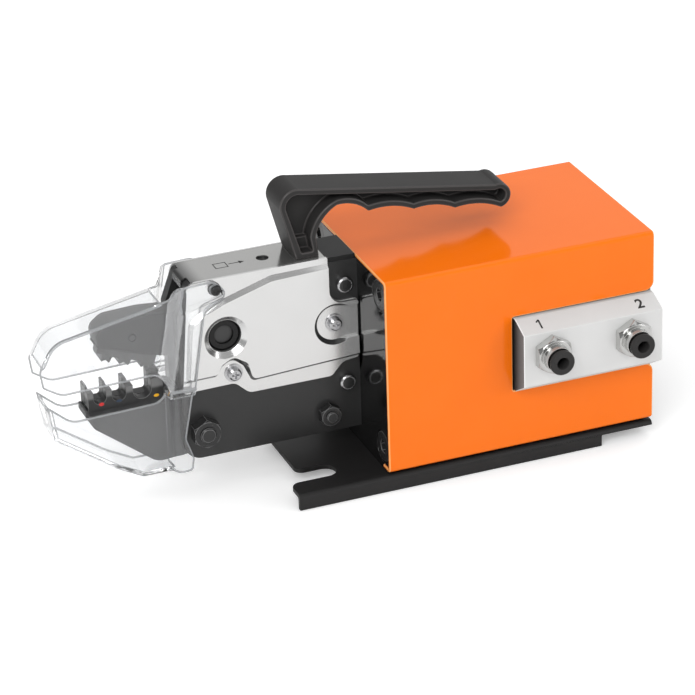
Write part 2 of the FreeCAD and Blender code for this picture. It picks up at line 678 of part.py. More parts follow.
def manifold_block():
    """Inlet block: a bar with sloped top and bottom faces and two through holes."""
    back = -PLATE_HALF - 0.05
    low, high = BLOCK_LOW, BLOCK_HIGH
    step = -(COVER_HALF + BLOCK_STEP)
    face_low = BLOCK_CENTRE_Z + BLOCK_FACE_RISE - BLOCK_FACE_HEIGHT / 2
    bar = section([(back, low, 0), (back, high, 0), (step, high, 0.4),
                   (BLOCK_FACE_Y, face_low + BLOCK_FACE_HEIGHT, 0.5),
                   (BLOCK_FACE_Y, face_low, 0.5), (step, low, 0.4)], BLOCK_FRONT, BLOCK_REAR)
    holes = [cross_rod(FITTING_THREAD / 2 + 0.2, (x, PORT_Z), BLOCK_FACE_Y - 1, back + 1)
             for x in PORTS]
    return cut_all(bar, holes)


def fitting_places():
    """Return the y of the hexagon's face, the barrel's end and the collar's end."""
    hex_face = BLOCK_FACE_Y - FITTING_HEX_THICK
    barrel_end = hex_face - FITTING_BARREL_LENGTH
    return hex_face, barrel_end, barrel_end - COLLAR_TRAVEL - COLLAR_HEAD


def fitting_body(x):
    """Push-in fitting: thread, hexagon with rounded corners, barrel and tube socket."""
    place = (x, PORT_Z)
    hex_face, barrel_end, _ = fitting_places()
    thread = cross_rod(FITTING_THREAD / 2, place, BLOCK_FACE_Y,
                       -PLATE_HALF + FITTING_THREAD_IN_BODY)
    nut = hexagon(FITTING_HEX, place, hex_face, BLOCK_FACE_Y)
    corner = FITTING_HEX / sqrt(3)
    cone = Part.makeCone(corner - 1.6, corner + 0.4, 2.6, Vector(x, hex_face, PORT_Z), Y)
    rounding = cone.fuse(cross_rod(corner - 0.1, place, hex_face + 2.2, BLOCK_FACE_Y))
    nut = nut.common(rounding)
    barrel = cross_rod(FITTING_BARREL / 2, place, barrel_end, hex_face)
    body = thread.fuse(nut).fuse(barrel)
    chamber = cross_rod(5.0, place, barrel_end - 1, barrel_end + 6.8)
    socket = cross_rod(TUBE_DIAMETER / 2 + 0.05, place, barrel_end - 1, barrel_end + 18.8)
    passage = cross_rod(TUBE_DIAMETER / 2 - TUBE_STOP, place, barrel_end, 0)
    return cut_all(body, [chamber, socket, passage])


def tube_seals():
    """Sealing rings at the bottom of each fitting's chamber."""
    _, barrel_end, _ = fitting_places()
    y0 = barrel_end + 5.0
    return group([cross_ring(4.9, TUBE_DIAMETER / 2 + 0.1, (x, PORT_Z), y0, y0 + 1.7)
                  for x in PORTS])


def release_collar(x):
    """Release ring that is pressed in to free the tube."""
    place = (x, PORT_Z)
    _, barrel_end, tip = fitting_places()
    head = cross_rod(COLLAR_DIAMETER / 2, place, tip, tip + COLLAR_HEAD)
    front = [e for e in head.Edges if abs(e.CenterOfMass.y - tip) < 1e-3]
    head = head.makeChamfer(0.5, front)
    sleeve = cross_rod(4.92, place, tip, barrel_end + 3.5)
    return head.fuse(sleeve).cut(cross_rod(TUBE_DIAMETER / 2 + 0.15, place, tip - 1, barrel_end + 9))


def side_plate_outline():
    """Corners of a side plate of the head."""
    return [(FRONT_PLATE_X, HEAD_BOTTOM, 0), (FRONT_PLATE_X, NECK_STEP_Z, 0),
            (-FIT_GAP, NECK_STEP_Z, 0), (-FIT_GAP, HEAD_TOP - NECK_CAP, 0),
            (NECK_FRONT, HEAD_TOP - NECK_CAP, 0), (NECK_FRONT, HEAD_TOP, 0),
            (TOP_BAR_FRONT, HEAD_TOP, 3), (HEAD_FRONT, HEAD_TOP - HEAD_SLOPE_HEIGHT, 4),
            (HEAD_FRONT, HEAD_BOTTOM, 9)]


def side_plate(side):
    """Steel side plate with its pin, bolt and screw holes; side is -1 near, 1 far."""
    y0, y1 = sorted((side * GAP_HALF, side * HEAD_HALF))
    plate = slab(side_plate_outline(), y0, y1)
    holes = [
        cross_rod(PIVOT_PIN_DIAMETER / 2 + 0.02, UPPER_PIVOT, y0 - 1, y1 + 1),
        cross_rod(LOWER_BOLT_DIAMETER / 2 + 0.15, LOWER_PIVOT, y0 - 1, y1 + 1),
        cross_rod(REAR_BOLT_DIAMETER / 2 + 0.15, REAR_BOLT, y0 - 1, y1 + 1),
        cross_rod(1.6, FRONT_SCREW, y0 - 1, y1 + 1),
        cross_rod(1.6, REAR_SCREW, y0 - 1, y1 + 1),
        cross_rod(GUARD_SCREW_DIAMETER / 2 + 0.05, GUARD_PIVOT, y0 - 1, y1 + 1),
    ]
    for z in (UPPER_RIVET_Z, LOWER_RIVET_Z):
        holes.append(cross_rod(RIVET_SHANK / 2 + 0.05, (RIVET_X, z), y0 - 1, y1 + 1))
    return cut_all(plate, holes)


def top_bar():
    """Spacer along the top of the head, with a capped neck at the front plate."""
    low = HEAD_TOP - TOP_BAR_HEIGHT
    foot = NOTCH_Z + 0.1
    bar = slab([(TOP_BAR_FRONT, low, 1), (TOP_BAR_FRONT, HEAD_TOP, 2.5),
                (-FIT_GAP, HEAD_TOP, 0), (-FIT_GAP, NECK_STEP_Z, 0),
                (FRONT_PLATE_X, NECK_STEP_Z, 0), (FRONT_PLATE_X, foot, 0),
                (NECK_FRONT + 1, foot, 1.5), (NECK_FRONT + 1, low, 1.5)],
               -GAP_HALF, GAP_HALF)
    cap = block(NECK_FRONT, -FIT_GAP, -HEAD_HALF, HEAD_HALF, HEAD_TOP - NECK_CAP, HEAD_TOP)
    tools = [cross_rod(RIVET_SHANK / 2 + 0.05, (RIVET_X, UPPER_RIVET_Z), -20, 20),
             cross_rod(GUARD_SCREW_DIAMETER / 2 - 0.3, GUARD_PIVOT, -20, 20),
             long_rod(HEAD_SCREW_DIAMETER / 2, NECK_FRONT + 3.5, FRONT_PLATE_X + 1, 0,
                      UPPER_HEAD_SCREW_Z)]
    for x in HANDLE_SCREWS_X:
        tools.append(tall_rod(HANDLE_SCREW_DIAMETER / 2 + 0.25, x, 0, low - 1, HEAD_TOP + 1))
        tools.append(tall_rod(HANDLE_SCREW_DIAMETER * 0.76, x, 0, low - 1, low + 5.2))
    return cut_all(bar.fuse(cap), tools)


def lower_block():
    """Foot between the side plates that carries the head's lower rear and a spring."""
    top = LOWER_RIVET_Z + RIVET_SHANK / 2 + 0.1
    foot = HEAD_BOTTOM + 4.6
    piece = slab([(FRONT_PLATE_X, HEAD_BOTTOM + 0.1, 0), (FRONT_PLATE_X, top, 0),
                  (-9.0, top, 1), (-9.0, REAR_BOLT[1] + 4.5, 2),
                  (REAR_BOLT[0] - 5, REAR_BOLT[1] + 4.5, 4),
                  (REAR_BOLT[0] - 8, foot, 3), (SPRING_X - 8, foot, 1),
                  (SPRING_X - 8, HEAD_BOTTOM + 0.1, 1)], -GAP_HALF, GAP_HALF)
    tools = [cross_rod(RIVET_SHANK / 2 + 0.05, (RIVET_X, LOWER_RIVET_Z), -20, 20),
             cross_rod(REAR_BOLT_DIAMETER / 2 + 0.15, REAR_BOLT, -20, 20),
             long_rod(HEAD_SCREW_DIAMETER / 2, FRONT_PLATE_X - 9, FRONT_PLATE_X + 1, 0,
                      LOWER_HEAD_SCREW_Z)]
    return cut_all(piece, tools)


def head_screws():
    """Two screws from behind the front plate into the head's spacers."""
    parts = []
    for z in (UPPER_HEAD_SCREW_Z, LOWER_HEAD_SCREW_Z):
        shank = long_rod(HEAD_SCREW_DIAMETER / 2 - 0.02, FRONT_PLATE_X - 8, FRONT_PLATE_REAR, 0, z)
        head = long_rod(HEAD_SCREW_HEAD / 2, FRONT_PLATE_REAR, FRONT_PLATE_REAR + 6, 0, z)
        socket = hex_hole(5.0, FRONT_PLATE_REAR + 2.5, FRONT_PLATE_REAR + 7, 0, z)
        parts.append(shank.fuse(head).cut(socket))
    return group(parts)


def rear_rivets():
    """Two cross pins with bright chamfered heads at the back of the head."""
    parts = []
    for z in (UPPER_RIVET_Z, LOWER_RIVET_Z):
        place = (RIVET_X, z)
        shank = cross_rod(RIVET_SHANK / 2, place, -HEAD_HALF, HEAD_HALF)
        head = cross_rod(RIVET_HEAD / 2, place, -HEAD_HALF - RIVET_PROUD, -HEAD_HALF)
        rim = [e for e in head.Edges if abs(e.CenterOfMass.y + HEAD_HALF + RIVET_PROUD) < 1e-3]
        head = head.makeChamfer(0.7, rim)
        head = head.cut(cross_rod(RIVET_DISH / 2, place, -30, -HEAD_HALF - RIVET_PROUD + 1.0))
        parts.append(shank.fuse(head).fuse(mirror_y(head)))
    return group(parts)


def tail(pivot, hub, roller, side):
    """Tail of a jaw: a bar from its hub to a fork that straddles the roller.

    side is 1 for the upper jaw and -1 for the lower one.
    """
    run = Vector(roller[0] - pivot[0], 0, roller[1] - pivot[1])
    along = Vector(run).normalize()
    across = Vector(-along.z, 0, along.x)
    start = Vector(pivot[0], -JAW_HALF, pivot[1])
    end = Vector(roller[0], -JAW_HALF, roller[1])
    a, b = hub * 0.86, TAIL_HALF
    points = [start + across * a, end + across * b, end - across * b, start - across * a]
    bar = Part.Face(Part.makePolygon(points + points[:1])).extrude(Vector(0, JAW_THICK, 0))
    bar = bar.fuse(cross_rod(TAIL_HALF, roller, -JAW_HALF, JAW_HALF))
    slot_half = ROLLER_WIDTH / 2 + FORK_GAP
    first = end - along * FORK_LENGTH
    reach = TAIL_HALF + 9
    corners = [first + across * reach, end + along * reach + across * reach,
               end + along * reach - across * reach, first - across * reach]
    fork = Part.Face(Part.makePolygon(corners + corners[:1]))
    fork.translate(Vector(0, JAW_HALF - slot_half, 0))
    fork = fork.extrude(Vector(0, 2 * slot_half, 0))
    return bar.cut(fork)


def jaw_holes(pivot, bush_radius, roller):
    """Holes of a jaw for its bush and its roller pin."""
    return [cross_rod(bush_radius, pivot, -20, 20),
            cross_rod(ROLLER_PIN / 2, roller, -20, 20)]


def upper_seat():
    """Room in the upper jaw for its die, and behind it for the lower die's rear wall."""
    room = UPPER_SEAT + DIE_CLOSED_GAP
    seat = slab([(DIE_FRONT - 20, TOOTH_TIP - 30, 0), (DIE_FRONT - 20, UPPER_SEAT, 0),
                 (UPPER_DIE_REAR, UPPER_SEAT, 0), (UPPER_DIE_REAR, room, 0), (-90.0, room, 3),
                 (-84.0, room - 10, 3), (-84.0, TOOTH_TIP - 30, 0)], -20, 20)
    return shape_to_upper(seat)


def upper_screws(radius):
    """Two screws, or their holes, that hold the upper die under its jaw."""
    screws = [tall_rod(radius, x, 0, TOOTH_TIP + 3.4, UPPER_SEAT + 7) for x, _ in TEETH[::2]]
    return [shape_to_upper(screw) for screw in screws]


def upper_jaw():
    """Upper jaw: hub, front arm with the die seat, and forked tail."""
    front = [(-70.0, 95.5, 0), (-92.0, 95.0, 30), (-104.0, 96.2, 30), (-122.0, 95.5, 7),
             (-128.4, 90.6, 5), (-127.3, 83.0, 0), (-120.0, 70.0, 0), (-100.0, 62.0, 0),
             (-84.0, 64.0, 10), (-66.0, 68.0, 0)]
    arm = slab(front, -JAW_HALF, JAW_HALF).cut(upper_seat())
    hub = cross_rod(UPPER_HUB, UPPER_PIVOT, -JAW_HALF, JAW_HALF)
    jaw = arm.fuse(hub).fuse(tail(UPPER_PIVOT, UPPER_HUB, UPPER_ROLLER, 1))
    marks = [cross_rod(1.8, (-110.5, 86.0), -20, 20)]
    bush = PIVOT_PIN_DIAMETER / 2 + RUNNING_GAP + BUSH_WALL
    holes = jaw_holes(UPPER_PIVOT, bush, UPPER_ROLLER) + upper_screws(DIE_SCREW_DIAMETER / 2)
    return cut_all(jaw.removeSplitter(), holes + marks)


def lower_jaw():
    """Lower jaw: hub, front arm with the die seat, and forked tail."""
    front = [(-79.0, 20.0, 0), (-102.0, 18.5, 9), (-131.8, 42.2, 5), (-135.7, 49.0, 3),
             (-135.7, DIE_SEAT + 3.4, 0.7), (DIE_FRONT - 0.1, DIE_SEAT + 3.4, 0.5),
             (DIE_FRONT - 0.1, DIE_SEAT, 0), (DIE_REAR + 0.1, DIE_SEAT, 0),
             (DIE_REAR + 0.1, 58.0, 1.5), (-91.5, 57.0, 4), (-84.0, 47.5, 6), (-72.0, 47.0, 0)]
    arm = slab(front, -JAW_HALF, JAW_HALF)
    hub = cross_rod(LOWER_HUB, LOWER_PIVOT, -JAW_HALF, JAW_HALF)
    jaw = arm.fuse(hub).fuse(tail(LOWER_PIVOT, LOWER_HUB, LOWER_ROLLER, -1))
    screws = [tall_rod(DIE_SCREW_DIAMETER / 2, x, 0, DIE_SEAT - 9, DIE_SEAT + 1)
              for x in die_screw_xs()]
    bush = LOWER_BOLT_DIAMETER / 2 + RUNNING_GAP + BUSH_WALL
    return cut_all(jaw.removeSplitter(), jaw_holes(LOWER_PIVOT, bush, LOWER_ROLLER) + screws)


def die_screw_xs():
    """Where the dies' screws stand: under the walls between the nests."""
    return [(NESTS[k][0] + NESTS[k][1] + NESTS[k + 1][0] - NESTS[k + 1][1]) / 2 for k in (0, 1)]


def nest_pocket(x, radius, y0, y1):
    """Round-bottomed nest, open at the top."""
    low = cross_rod(radius, (x, NEST_CENTRE_Z), y0, y1)
    return low.fuse(block(x - radius, x + radius, y0, y1, NEST_CENTRE_Z, NEST_CENTRE_Z + 20))


def far_pocket(x, radius, y0, y1):
    """Nest whose front side slopes, so that the post in front of it tapers upwards."""
    low, high = NEST_CENTRE_Z - radius, NEST_CENTRE_Z + 20
    lean = (high - NEST_CENTRE_Z) * tan(radians(POST_SLANT))
    return slab([(x + radius, high, 0), (x + radius, low, 1.5), (x - radius, low, 1.5),
                 (x - radius, NEST_CENTRE_Z, 0), (x - radius - lean, high, 0)], y0, y1)


def lower_die():
    """Lower die: a near row of round nests and a far row of taller posts."""
    half_gap = DIE_SPLIT_GAP / 2
    wall_end = NESTS[-1][0] + NESTS[-1][1]
    base = block(DIE_FRONT, DIE_REAR, -JAW_HALF, JAW_HALF, DIE_SEAT, NEST_CENTRE_Z - 5.2)

    def row(top, y0, y1):
        rear_top = top + REAR_WALL_RISE
        return slab([(DIE_FRONT, DIE_SEAT, 0), (DIE_FRONT, top, 0.6), (wall_end - 1, top, 0),
                     (wall_end + 1, rear_top, 0.8), (DIE_REAR, rear_top, 2.0),
                     (DIE_REAR, DIE_SEAT, 0)], y0, y1)

    near = row(NEAR_WALL_TOP, -JAW_HALF, -half_gap)
    far = row(POST_TOP, half_gap, JAW_HALF)
    for x, radius in NESTS:
        near = near.cut(nest_pocket(x, radius, -JAW_HALF - 1, -half_gap + 0.1))
        far = far.cut(far_pocket(x, radius, half_gap - 0.1, JAW_HALF + 1))
    die = base.fuse(near).fuse(far)
    screws = [tall_rod(DIE_SCREW_DIAMETER / 2, x, 0, DIE_SEAT - 1, NEST_CENTRE_Z - 6.5)
              for x in die_screw_xs()]
    return cut_all(die, screws).removeSplitter()


def toothed_half(clear_of, y0, y1):
    """Half of the upper die: three hollow-tipped teeth under a bar.

    clear_of is the height of the walls that the bar must stay above when the dies are
    closed.
    """
    low = clear_of + DIE_CLOSED_GAP
    toe = low + TOE_LIFT
    outline = [(TOE_FRONT, toe, 0.3), (TOE_FRONT, UPPER_SEAT - 0.02, 0.4),
               (UPPER_DIE_REAR, UPPER_SEAT - 0.02, 0), (UPPER_DIE_REAR, low, 0.3)]
    hollows = []
    for x, width in reversed(TEETH):
        reach = width / 2
        front = (x - reach - 0.6, toe if x == TEETH[0][0] else low, NOTCH_ROUND)
        outline += [(x + reach + 0.6, low, NOTCH_ROUND), (x + reach, TOOTH_TIP, TOOTH_ROUND),
                    (x - reach, TOOTH_TIP, TOOTH_ROUND), front]
        hollows.append(cross_rod(width * 0.42, (x, TOOTH_TIP - width * 0.22), y0 - 1, y1 + 1))
    return cut_all(slab(outline, y0, y1), hollows)


def upper_die():
    """Upper die: one tooth for each nest, placed on the open jaw."""
    half_gap = DIE_SPLIT_GAP / 2
    near = toothed_half(NEAR_WALL_TOP, -JAW_HALF, -half_gap)
    far = toothed_half(POST_TOP, half_gap, JAW_HALF)
    middle = block(TOE_FRONT, UPPER_DIE_REAR, -half_gap, half_gap,
                   POST_TOP + DIE_CLOSED_GAP + TOE_LIFT, UPPER_SEAT - 0.02)
    die = shape_to_upper(near.fuse(far).fuse(middle).removeSplitter())
    return cut_all(die, upper_screws(DIE_SCREW_DIAMETER / 2))


def die_screws():
    """Two screws that hold the lower die on its seat."""
    radius = DIE_SCREW_DIAMETER / 2 - 0.02
    return group([tall_rod(radius, x, 0, DIE_SEAT - 8, NEST_CENTRE_Z - 7) for x in die_screw_xs()])


def upper_die_screws():
    """Two screws that hold the upper die under its jaw."""
    return group(upper_screws(DIE_SCREW_DIAMETER / 2 - 0.02))


def upper_pivot_pin():
    """Blackened pivot pin of the upper jaw with dished ends."""
    end = HEAD_HALF - 0.4
    pin = cross_rod(PIVOT_PIN_DIAMETER / 2, UPPER_PIVOT, -end, end)
    rims = [e for e in pin.Edges if abs(abs(e.CenterOfMass.y) - end) < 1e-3]
    pin = pin.makeChamfer(0.8, rims)
    dish = cross_rod(PIVOT_PIN_DIAMETER * 0.3, UPPER_PIVOT, -end - 1, -end + 1.2)
    return pin.cut(dish).cut(mirror_y(dish))


def jaw_bush(pivot, diameter):
    """Bronze bush pressed into a jaw."""
    inner = diameter / 2 + RUNNING_GAP
    return cross_ring(inner + BUSH_WALL - 0.005, inner, pivot, -JAW_HALF, JAW_HALF)


def through_bolt(place, diameter, head_across, head_height, proud):
    """Hexagon bolt with its head on the far side and its end proud of the near nut."""
    nut_face = -HEAD_HALF - diameter * 0.8 - 0.05
    shank = cross_rod(diameter / 2, place, nut_face - proud, HEAD_HALF)
    end = [e for e in shank.Edges if abs(e.CenterOfMass.y - nut_face + proud) < 1e-3]
    shank = shank.makeChamfer(diameter * 0.09, end)
    return shank.fuse(hexagon(head_across, place, HEAD_HALF, HEAD_HALF + head_height))


def hex_nut(place, diameter, across):
    """Hexagon nut with chamfered corners, on the near side plate."""
    face = -HEAD_HALF - 0.05
    height = diameter * 0.8
    nut = hexagon(across, place, face - height, face)
    corner = across / sqrt(3)
    cone = Part.makeCone(corner - 1.0, corner + 0.2, 1.0, Vector(place[0], face - height, place[1]), Y)
    nut = nut.common(cone.fuse(cross_rod(corner + 0.2, place, face - height + 1.0, face)))
    return nut.cut(cross_rod(diameter / 2 + 0.02, place, face - height - 1, face + 1))


def roller(place):
    """Hardened roller."""
    return cross_ring(ROLLER_RADIUS, ROLLER_PIN / 2 + RUNNING_GAP, place, -ROLLER_WIDTH / 2,
                      ROLLER_WIDTH / 2)


def roller_pin(place):
    """Pin that carries a roller in the fork."""
    return cross_rod(ROLLER_PIN / 2 - 0.01, place, -JAW_HALF, JAW_HALF)


def coil_spring(x, z0, z1):
    """Compression spring coiled from flat wire."""
    coils = max(3, int((z1 - z0) / (SPRING_WIRE * 2.6)))
    pitch = (z1 - z0 - SPRING_WIRE) / coils
    radius = (SPRING_DIAMETER - SPRING_WIRE) / 2
    half = SPRING_WIRE / 2
    helix = Part.makeHelix(pitch, pitch * coils, radius)
    helix.translate(Vector(x, 0, z0 + half))
    corners = [Vector(x + radius + a * half, 0, z0 + half + b * half)
               for a, b in ((-1, -1), (1, -1), (1, 1), (-1, 1), (-1, -1))]
    return Part.Wire(helix.Edges).makePipeShell([Part.makePolygon(corners)], True, True)


def spring_seats():
    """Return the z of the upper and the lower spring's two ends."""
    def edge(pivot, hub, place, side):
        share = (SPRING_X - pivot[0]) / (place[0] - pivot[0])
        centre = pivot[1] + (place[1] - pivot[1]) * share
        half = hub * 0.86 + (TAIL_HALF - hub * 0.86) * share
        return centre + side * half * 1.04

    upper = edge(UPPER_PIVOT, UPPER_HUB, UPPER_ROLLER, 1)
    lower = edge(LOWER_PIVOT, LOWER_HUB, LOWER_ROLLER, -1)
    return (upper + 0.5, HEAD_TOP - TOP_BAR_HEIGHT - 0.1), (HEAD_BOTTOM + 4.7, lower - 1.0)


def skin_outline():
    """Corners of a side cover's flat edge."""
    top = HEAD_TOP + STRIP_THICK
    return [(-89.6, 55.2, 1.5), (-84.8, top, 5), (NECK_FRONT, top, 0.5),
            (NECK_FRONT, NOTCH_Z, NOTCH_BEND), (-0.3, NOTCH_Z, 1.5), (-0.3, 56.6, 1.5),
            (-8.5, 55.6, 5), (-14.5, 49.1, 3),
            (-56.5, 49.1, 6), (-63.5, 55.6, 5)]


def panel_outline(inset):
    """Corners of a side cover's raised field, drawn in by an inset."""
    i = inset
    neck, notch, rear = NECK_FRONT - PANEL_EDGE, NOTCH_Z - PANEL_EDGE, -0.3 - PANEL_EDGE
    return [(-88.0 + i, 60.6 + i, 1.0), (-85.4 + i, 90.6 - i * 0.4, 5),
            (-79.6 + i * 0.8, 95.4 - i * 0.8, 8), (-67.5 + i * 0.6, 100.6 - i, 8),
            (-43.5, 108.0 - i * 1.3, 12), (neck, 108.4 - i, 0),
            (neck, notch, NOTCH_BEND + PANEL_EDGE), (rear, notch, 1.25),
            (rear, 57.6 + i, 0), (-55.0, 55.0 + i, 3), (-59.0 + i, 64.0 + i, 3.5),
            (-64.4, 68.6 + i, 4), (-69.6 - i * 0.3, 65.5 + i, 3), (-72.6, 60.8 + i, 2)]


def side_cover(side):
    """Bright pressed side cover; side is -1 near, 1 far."""
    inner, flat, face = HEAD_HALF + SKIN_AIR, SKIN_FACE, PANEL_FACE

    def layer(corners, y0, y1):
        return slab(corners, side * y0, side * y1) if side > 0 else slab(corners, -y1, -y0)

    sheet = layer(skin_outline(), inner, flat)
    base = wire(panel_outline(0), lambda q: Vector(q.x, side * flat, q.y))
    crown = wire(panel_outline(PANEL_BEVEL), lambda q: Vector(q.x, side * face, q.y))
    raised = Part.makeLoft([base, crown], True, True)
    recess = Part.makeCone(10.9, 8.6, face - flat + 0.4, Vector(REAR_SCREW[0], side * (face + 0.2),
                           REAR_SCREW[1]), Vector(0, -side, 0))
    width = 8.6
    trough = layer([(REAR_SCREW[0], REAR_SCREW[1] - width, 0), (4, REAR_SCREW[1] - width, 0),
                    (4, REAR_SCREW[1] + width, 0), (REAR_SCREW[0], REAR_SCREW[1] + width, 0)],
                   flat, face + 0.2)
    raised = raised.cut(recess).cut(trough)
    hollow = layer(panel_outline(PANEL_BEVEL + SKIN), inner - 1, face - SKIN)
    island = cross_rod(12.2, REAR_SCREW, side * (inner - 1), side * (face + 1)) if side > 0 else \
        cross_rod(12.2, REAR_SCREW, -(face + 1), -(inner - 1))
    tongue = layer([(REAR_SCREW[0], REAR_SCREW[1] - 12.2, 0), (4, REAR_SCREW[1] - 12.2, 0),
                    (4, REAR_SCREW[1] + 12.2, 0), (REAR_SCREW[0], REAR_SCREW[1] + 12.2, 0)],
                   inner - 1, face + 1)
    collar = layer_rod(PIN_WELL / 2 + SKIN, UPPER_PIVOT, side, inner, face)
    well = Part.makeCone(PIN_WELL / 2, PIN_WELL_FLOOR / 2, face - flat + 0.3,
                         Vector(UPPER_PIVOT[0], side * (face + 0.1), UPPER_PIVOT[1]),
                         Vector(0, -side, 0))
    boss = layer_rod(9.0, FRONT_SCREW, side, inner, face + 1)
    hollow = cut_all(hollow, [island, tongue, collar, boss])
    cover = sheet.fuse(raised).cut(hollow).cut(well)
    holes = [layer_rod(PIN_WELL_FLOOR / 2 - 0.1, UPPER_PIVOT, side, inner - 1, face + 1),
             layer_rod(1.7, FRONT_SCREW, side, inner - 1, face + 1),
             layer_rod(1.7, REAR_SCREW, side, inner - 1, face + 1),
             layer_rod(GUARD_SCREW_DIAMETER / 2 + 0.1, GUARD_PIVOT, side, inner - 1, face + 1)]
    return cut_all(cover, holes)


def layer_rod(radius, place, side, y0, y1):
    """Cylinder across one side of the head."""
    a, b = sorted((side * y0, side * y1))
    return cross_rod(radius, place, a, b)


def cover_fixings():
    """Cross-recessed screws with washers that hold the side covers."""
    parts = []
    for place in (FRONT_SCREW, REAR_SCREW):
        washer = cross_rod(WASHER / 2, place, -SKIN_FACE - 0.8, -SKIN_FACE)
        head = cross_rod(SCREW_HEAD / 2, place, -SKIN_FACE - 3.2, -SKIN_FACE - 0.8)
        rim = [e for e in head.Edges if abs(e.CenterOfMass.y + SKIN_FACE + 3.2) < 1e-3]
        head = head.makeChamfer(0.8, rim)
        shank = cross_rod(1.5, place, -SKIN_FACE - 0.8, -GAP_HALF)
        x, z = place
        cross = block(x - 0.5, x + 0.5, -SKIN_FACE - 4, -SKIN_FACE - 1.8, z - 1.9, z + 1.9)
        cross = cross.fuse(block(x - 1.9, x + 1.9, -SKIN_FACE - 4, -SKIN_FACE - 1.8, z - 0.5, z + 0.5))
        screw = washer.fuse(head).fuse(shank).cut(cross)
        parts += [screw, mirror_y(screw)]
    return group(parts)


def top_strip():
    """Satin strip along the top of the head, rolled down at its front."""
    t = STRIP_THICK
    low = HEAD_TOP - 4.0
    front = TOP_BAR_FRONT - 1.6
    profile = [(STRIP_REAR, HEAD_TOP, 0), (STRIP_REAR, HEAD_TOP + t, 0),
               (front, HEAD_TOP + t, 3.6), (front, low, 0), (front + t, low, 0),
               (front + t, HEAD_TOP, 2.6)]
    flat = block(TOP_BAR_FRONT + 1.5, STRIP_REAR, -HEAD_HALF, HEAD_HALF, HEAD_TOP, HEAD_TOP + t)
    strip = slab(profile, -GAP_HALF + FIT_GAP, GAP_HALF - FIT_GAP).fuse(flat).removeSplitter()
    tools = [tall_rod(3.0, -42.5, 0, HEAD_TOP - 1, HEAD_TOP + 3)]
    tools += [tall_rod(HANDLE_SCREW_DIAMETER / 2 + 0.25, x, 0, HEAD_TOP - 1, HEAD_TOP + 3)
              for x in HANDLE_SCREWS_X]
    return cut_all(strip, tools)


def handle_face(inset, y):
    """Face of the handle's side view: leg, straight back and four finger scallops."""
    slope = tan(radians(HANDLE_SLOPE))
    i = inset
    low = HANDLE_FOOT_Z + (i if i > 0 else 0)

    def top(x):
        return 147.4 - (x + 28.0) * slope - i

    cusps = [(8.3, 129.6), (31.4, 126.3), (52.6, 122.9)]
    crowns = [(-4.0, 133.0), (20.0, 129.9), (42.6, 126.4), (64.0, 123.0)]
    arch_start = Vector(-18.6 - i, y, 121.5)
    arch_mid = Vector(-14.2 - i * 0.7, y, 130.4 + i * 0.7)
    heel = Vector(76.5, y, 118.8 + i)
    points = [(Vector(x, y, z + i)) for x, z in cusps]
    tops = [(Vector(x, y, z + i)) for x, z in crowns]
    edges = []
    foot_rear = Vector(-17.4 - i, y, low)
    foot_front = Vector(-29.0 + i, y, low)
    knee = Vector(-35.9 + i, y, 137.6)
    shoulder = Vector(-25.5, y, top(-25.5))
    bend = Vector(-33.6 + i * 0.8, y, 145.0 - i * 0.75)
    edges.append(Part.LineSegment(foot_front, knee).toShape())
    edges.append(Part.Arc(knee, bend, shoulder).toShape())
    rear_top = Vector(73.5, y, top(73.5))
    edges.append(Part.LineSegment(shoulder, rear_top).toShape())
    rear_mid = Vector(HANDLE_REAR - i, y, 123.6)
    edges.append(Part.Arc(rear_top, rear_mid, heel).toShape())
    edges.append(Part.Arc(heel, tops[3], points[2]).toShape())
    edges.append(Part.Arc(points[2], tops[2], points[1]).toShape())
    edges.append(Part.Arc(points[1], tops[1], points[0]).toShape())
    turn = Vector(-7.5, y, 135.6 + i * 0.9)
    edges.append(Part.Arc(points[0], Vector(0.8, y, 134.6 + i), turn).toShape())
    edges.append(Part.Arc(turn, arch_mid, arch_start).toShape())
    edges.append(Part.LineSegment(arch_start, foot_rear).toShape())
    edges.append(Part.LineSegment(foot_rear, foot_front).toShape())
    return Part.Face(Part.Wire(edges))


def handle():
    """Moulded handle: an I-shaped grip with recessed sides, standing on the head."""
    half = HANDLE_WIDTH / 2
    body = handle_face(0, -half).extrude(Vector(0, HANDLE_WIDTH, 0))
    pocket = handle_face(HANDLE_RIM, -half - 1).extrude(Vector(0, half + 1 - HANDLE_WEB / 2, 0))
    body = body.cut(pocket).cut(mirror_y(pocket))
    foot = block(-29.0, -17.4, -HANDLE_FOOT_WIDTH / 2, HANDLE_FOOT_WIDTH / 2, HANDLE_FOOT_Z,
                 HANDLE_FOOT_Z + 9)
    body = body.fuse(foot.common(handle_face(0, -half).extrude(Vector(0, HANDLE_WIDTH, 0))))
    tools = [tall_rod(HANDLE_SCREW_DIAMETER / 2, x, 0, HANDLE_FOOT_Z - 1, HANDLE_FOOT_Z + 8)
             for x in HANDLE_SCREWS_X]
    return cut_all(body.removeSplitter(), tools)


def handle_screws():
    """Two screws from inside the head into the handle's foot."""
    parts = []
    for x in HANDLE_SCREWS_X:
        seat = HEAD_TOP - TOP_BAR_HEIGHT + 5.2
        shank = tall_rod(HANDLE_SCREW_DIAMETER / 2 - 0.02, x, 0, seat, HANDLE_FOOT_Z + 7.5)
        head = tall_rod(HANDLE_SCREW_DIAMETER * 0.7, x, 0, seat - 4.5, seat)
        parts.append(shank.fuse(head))
    return group(parts)


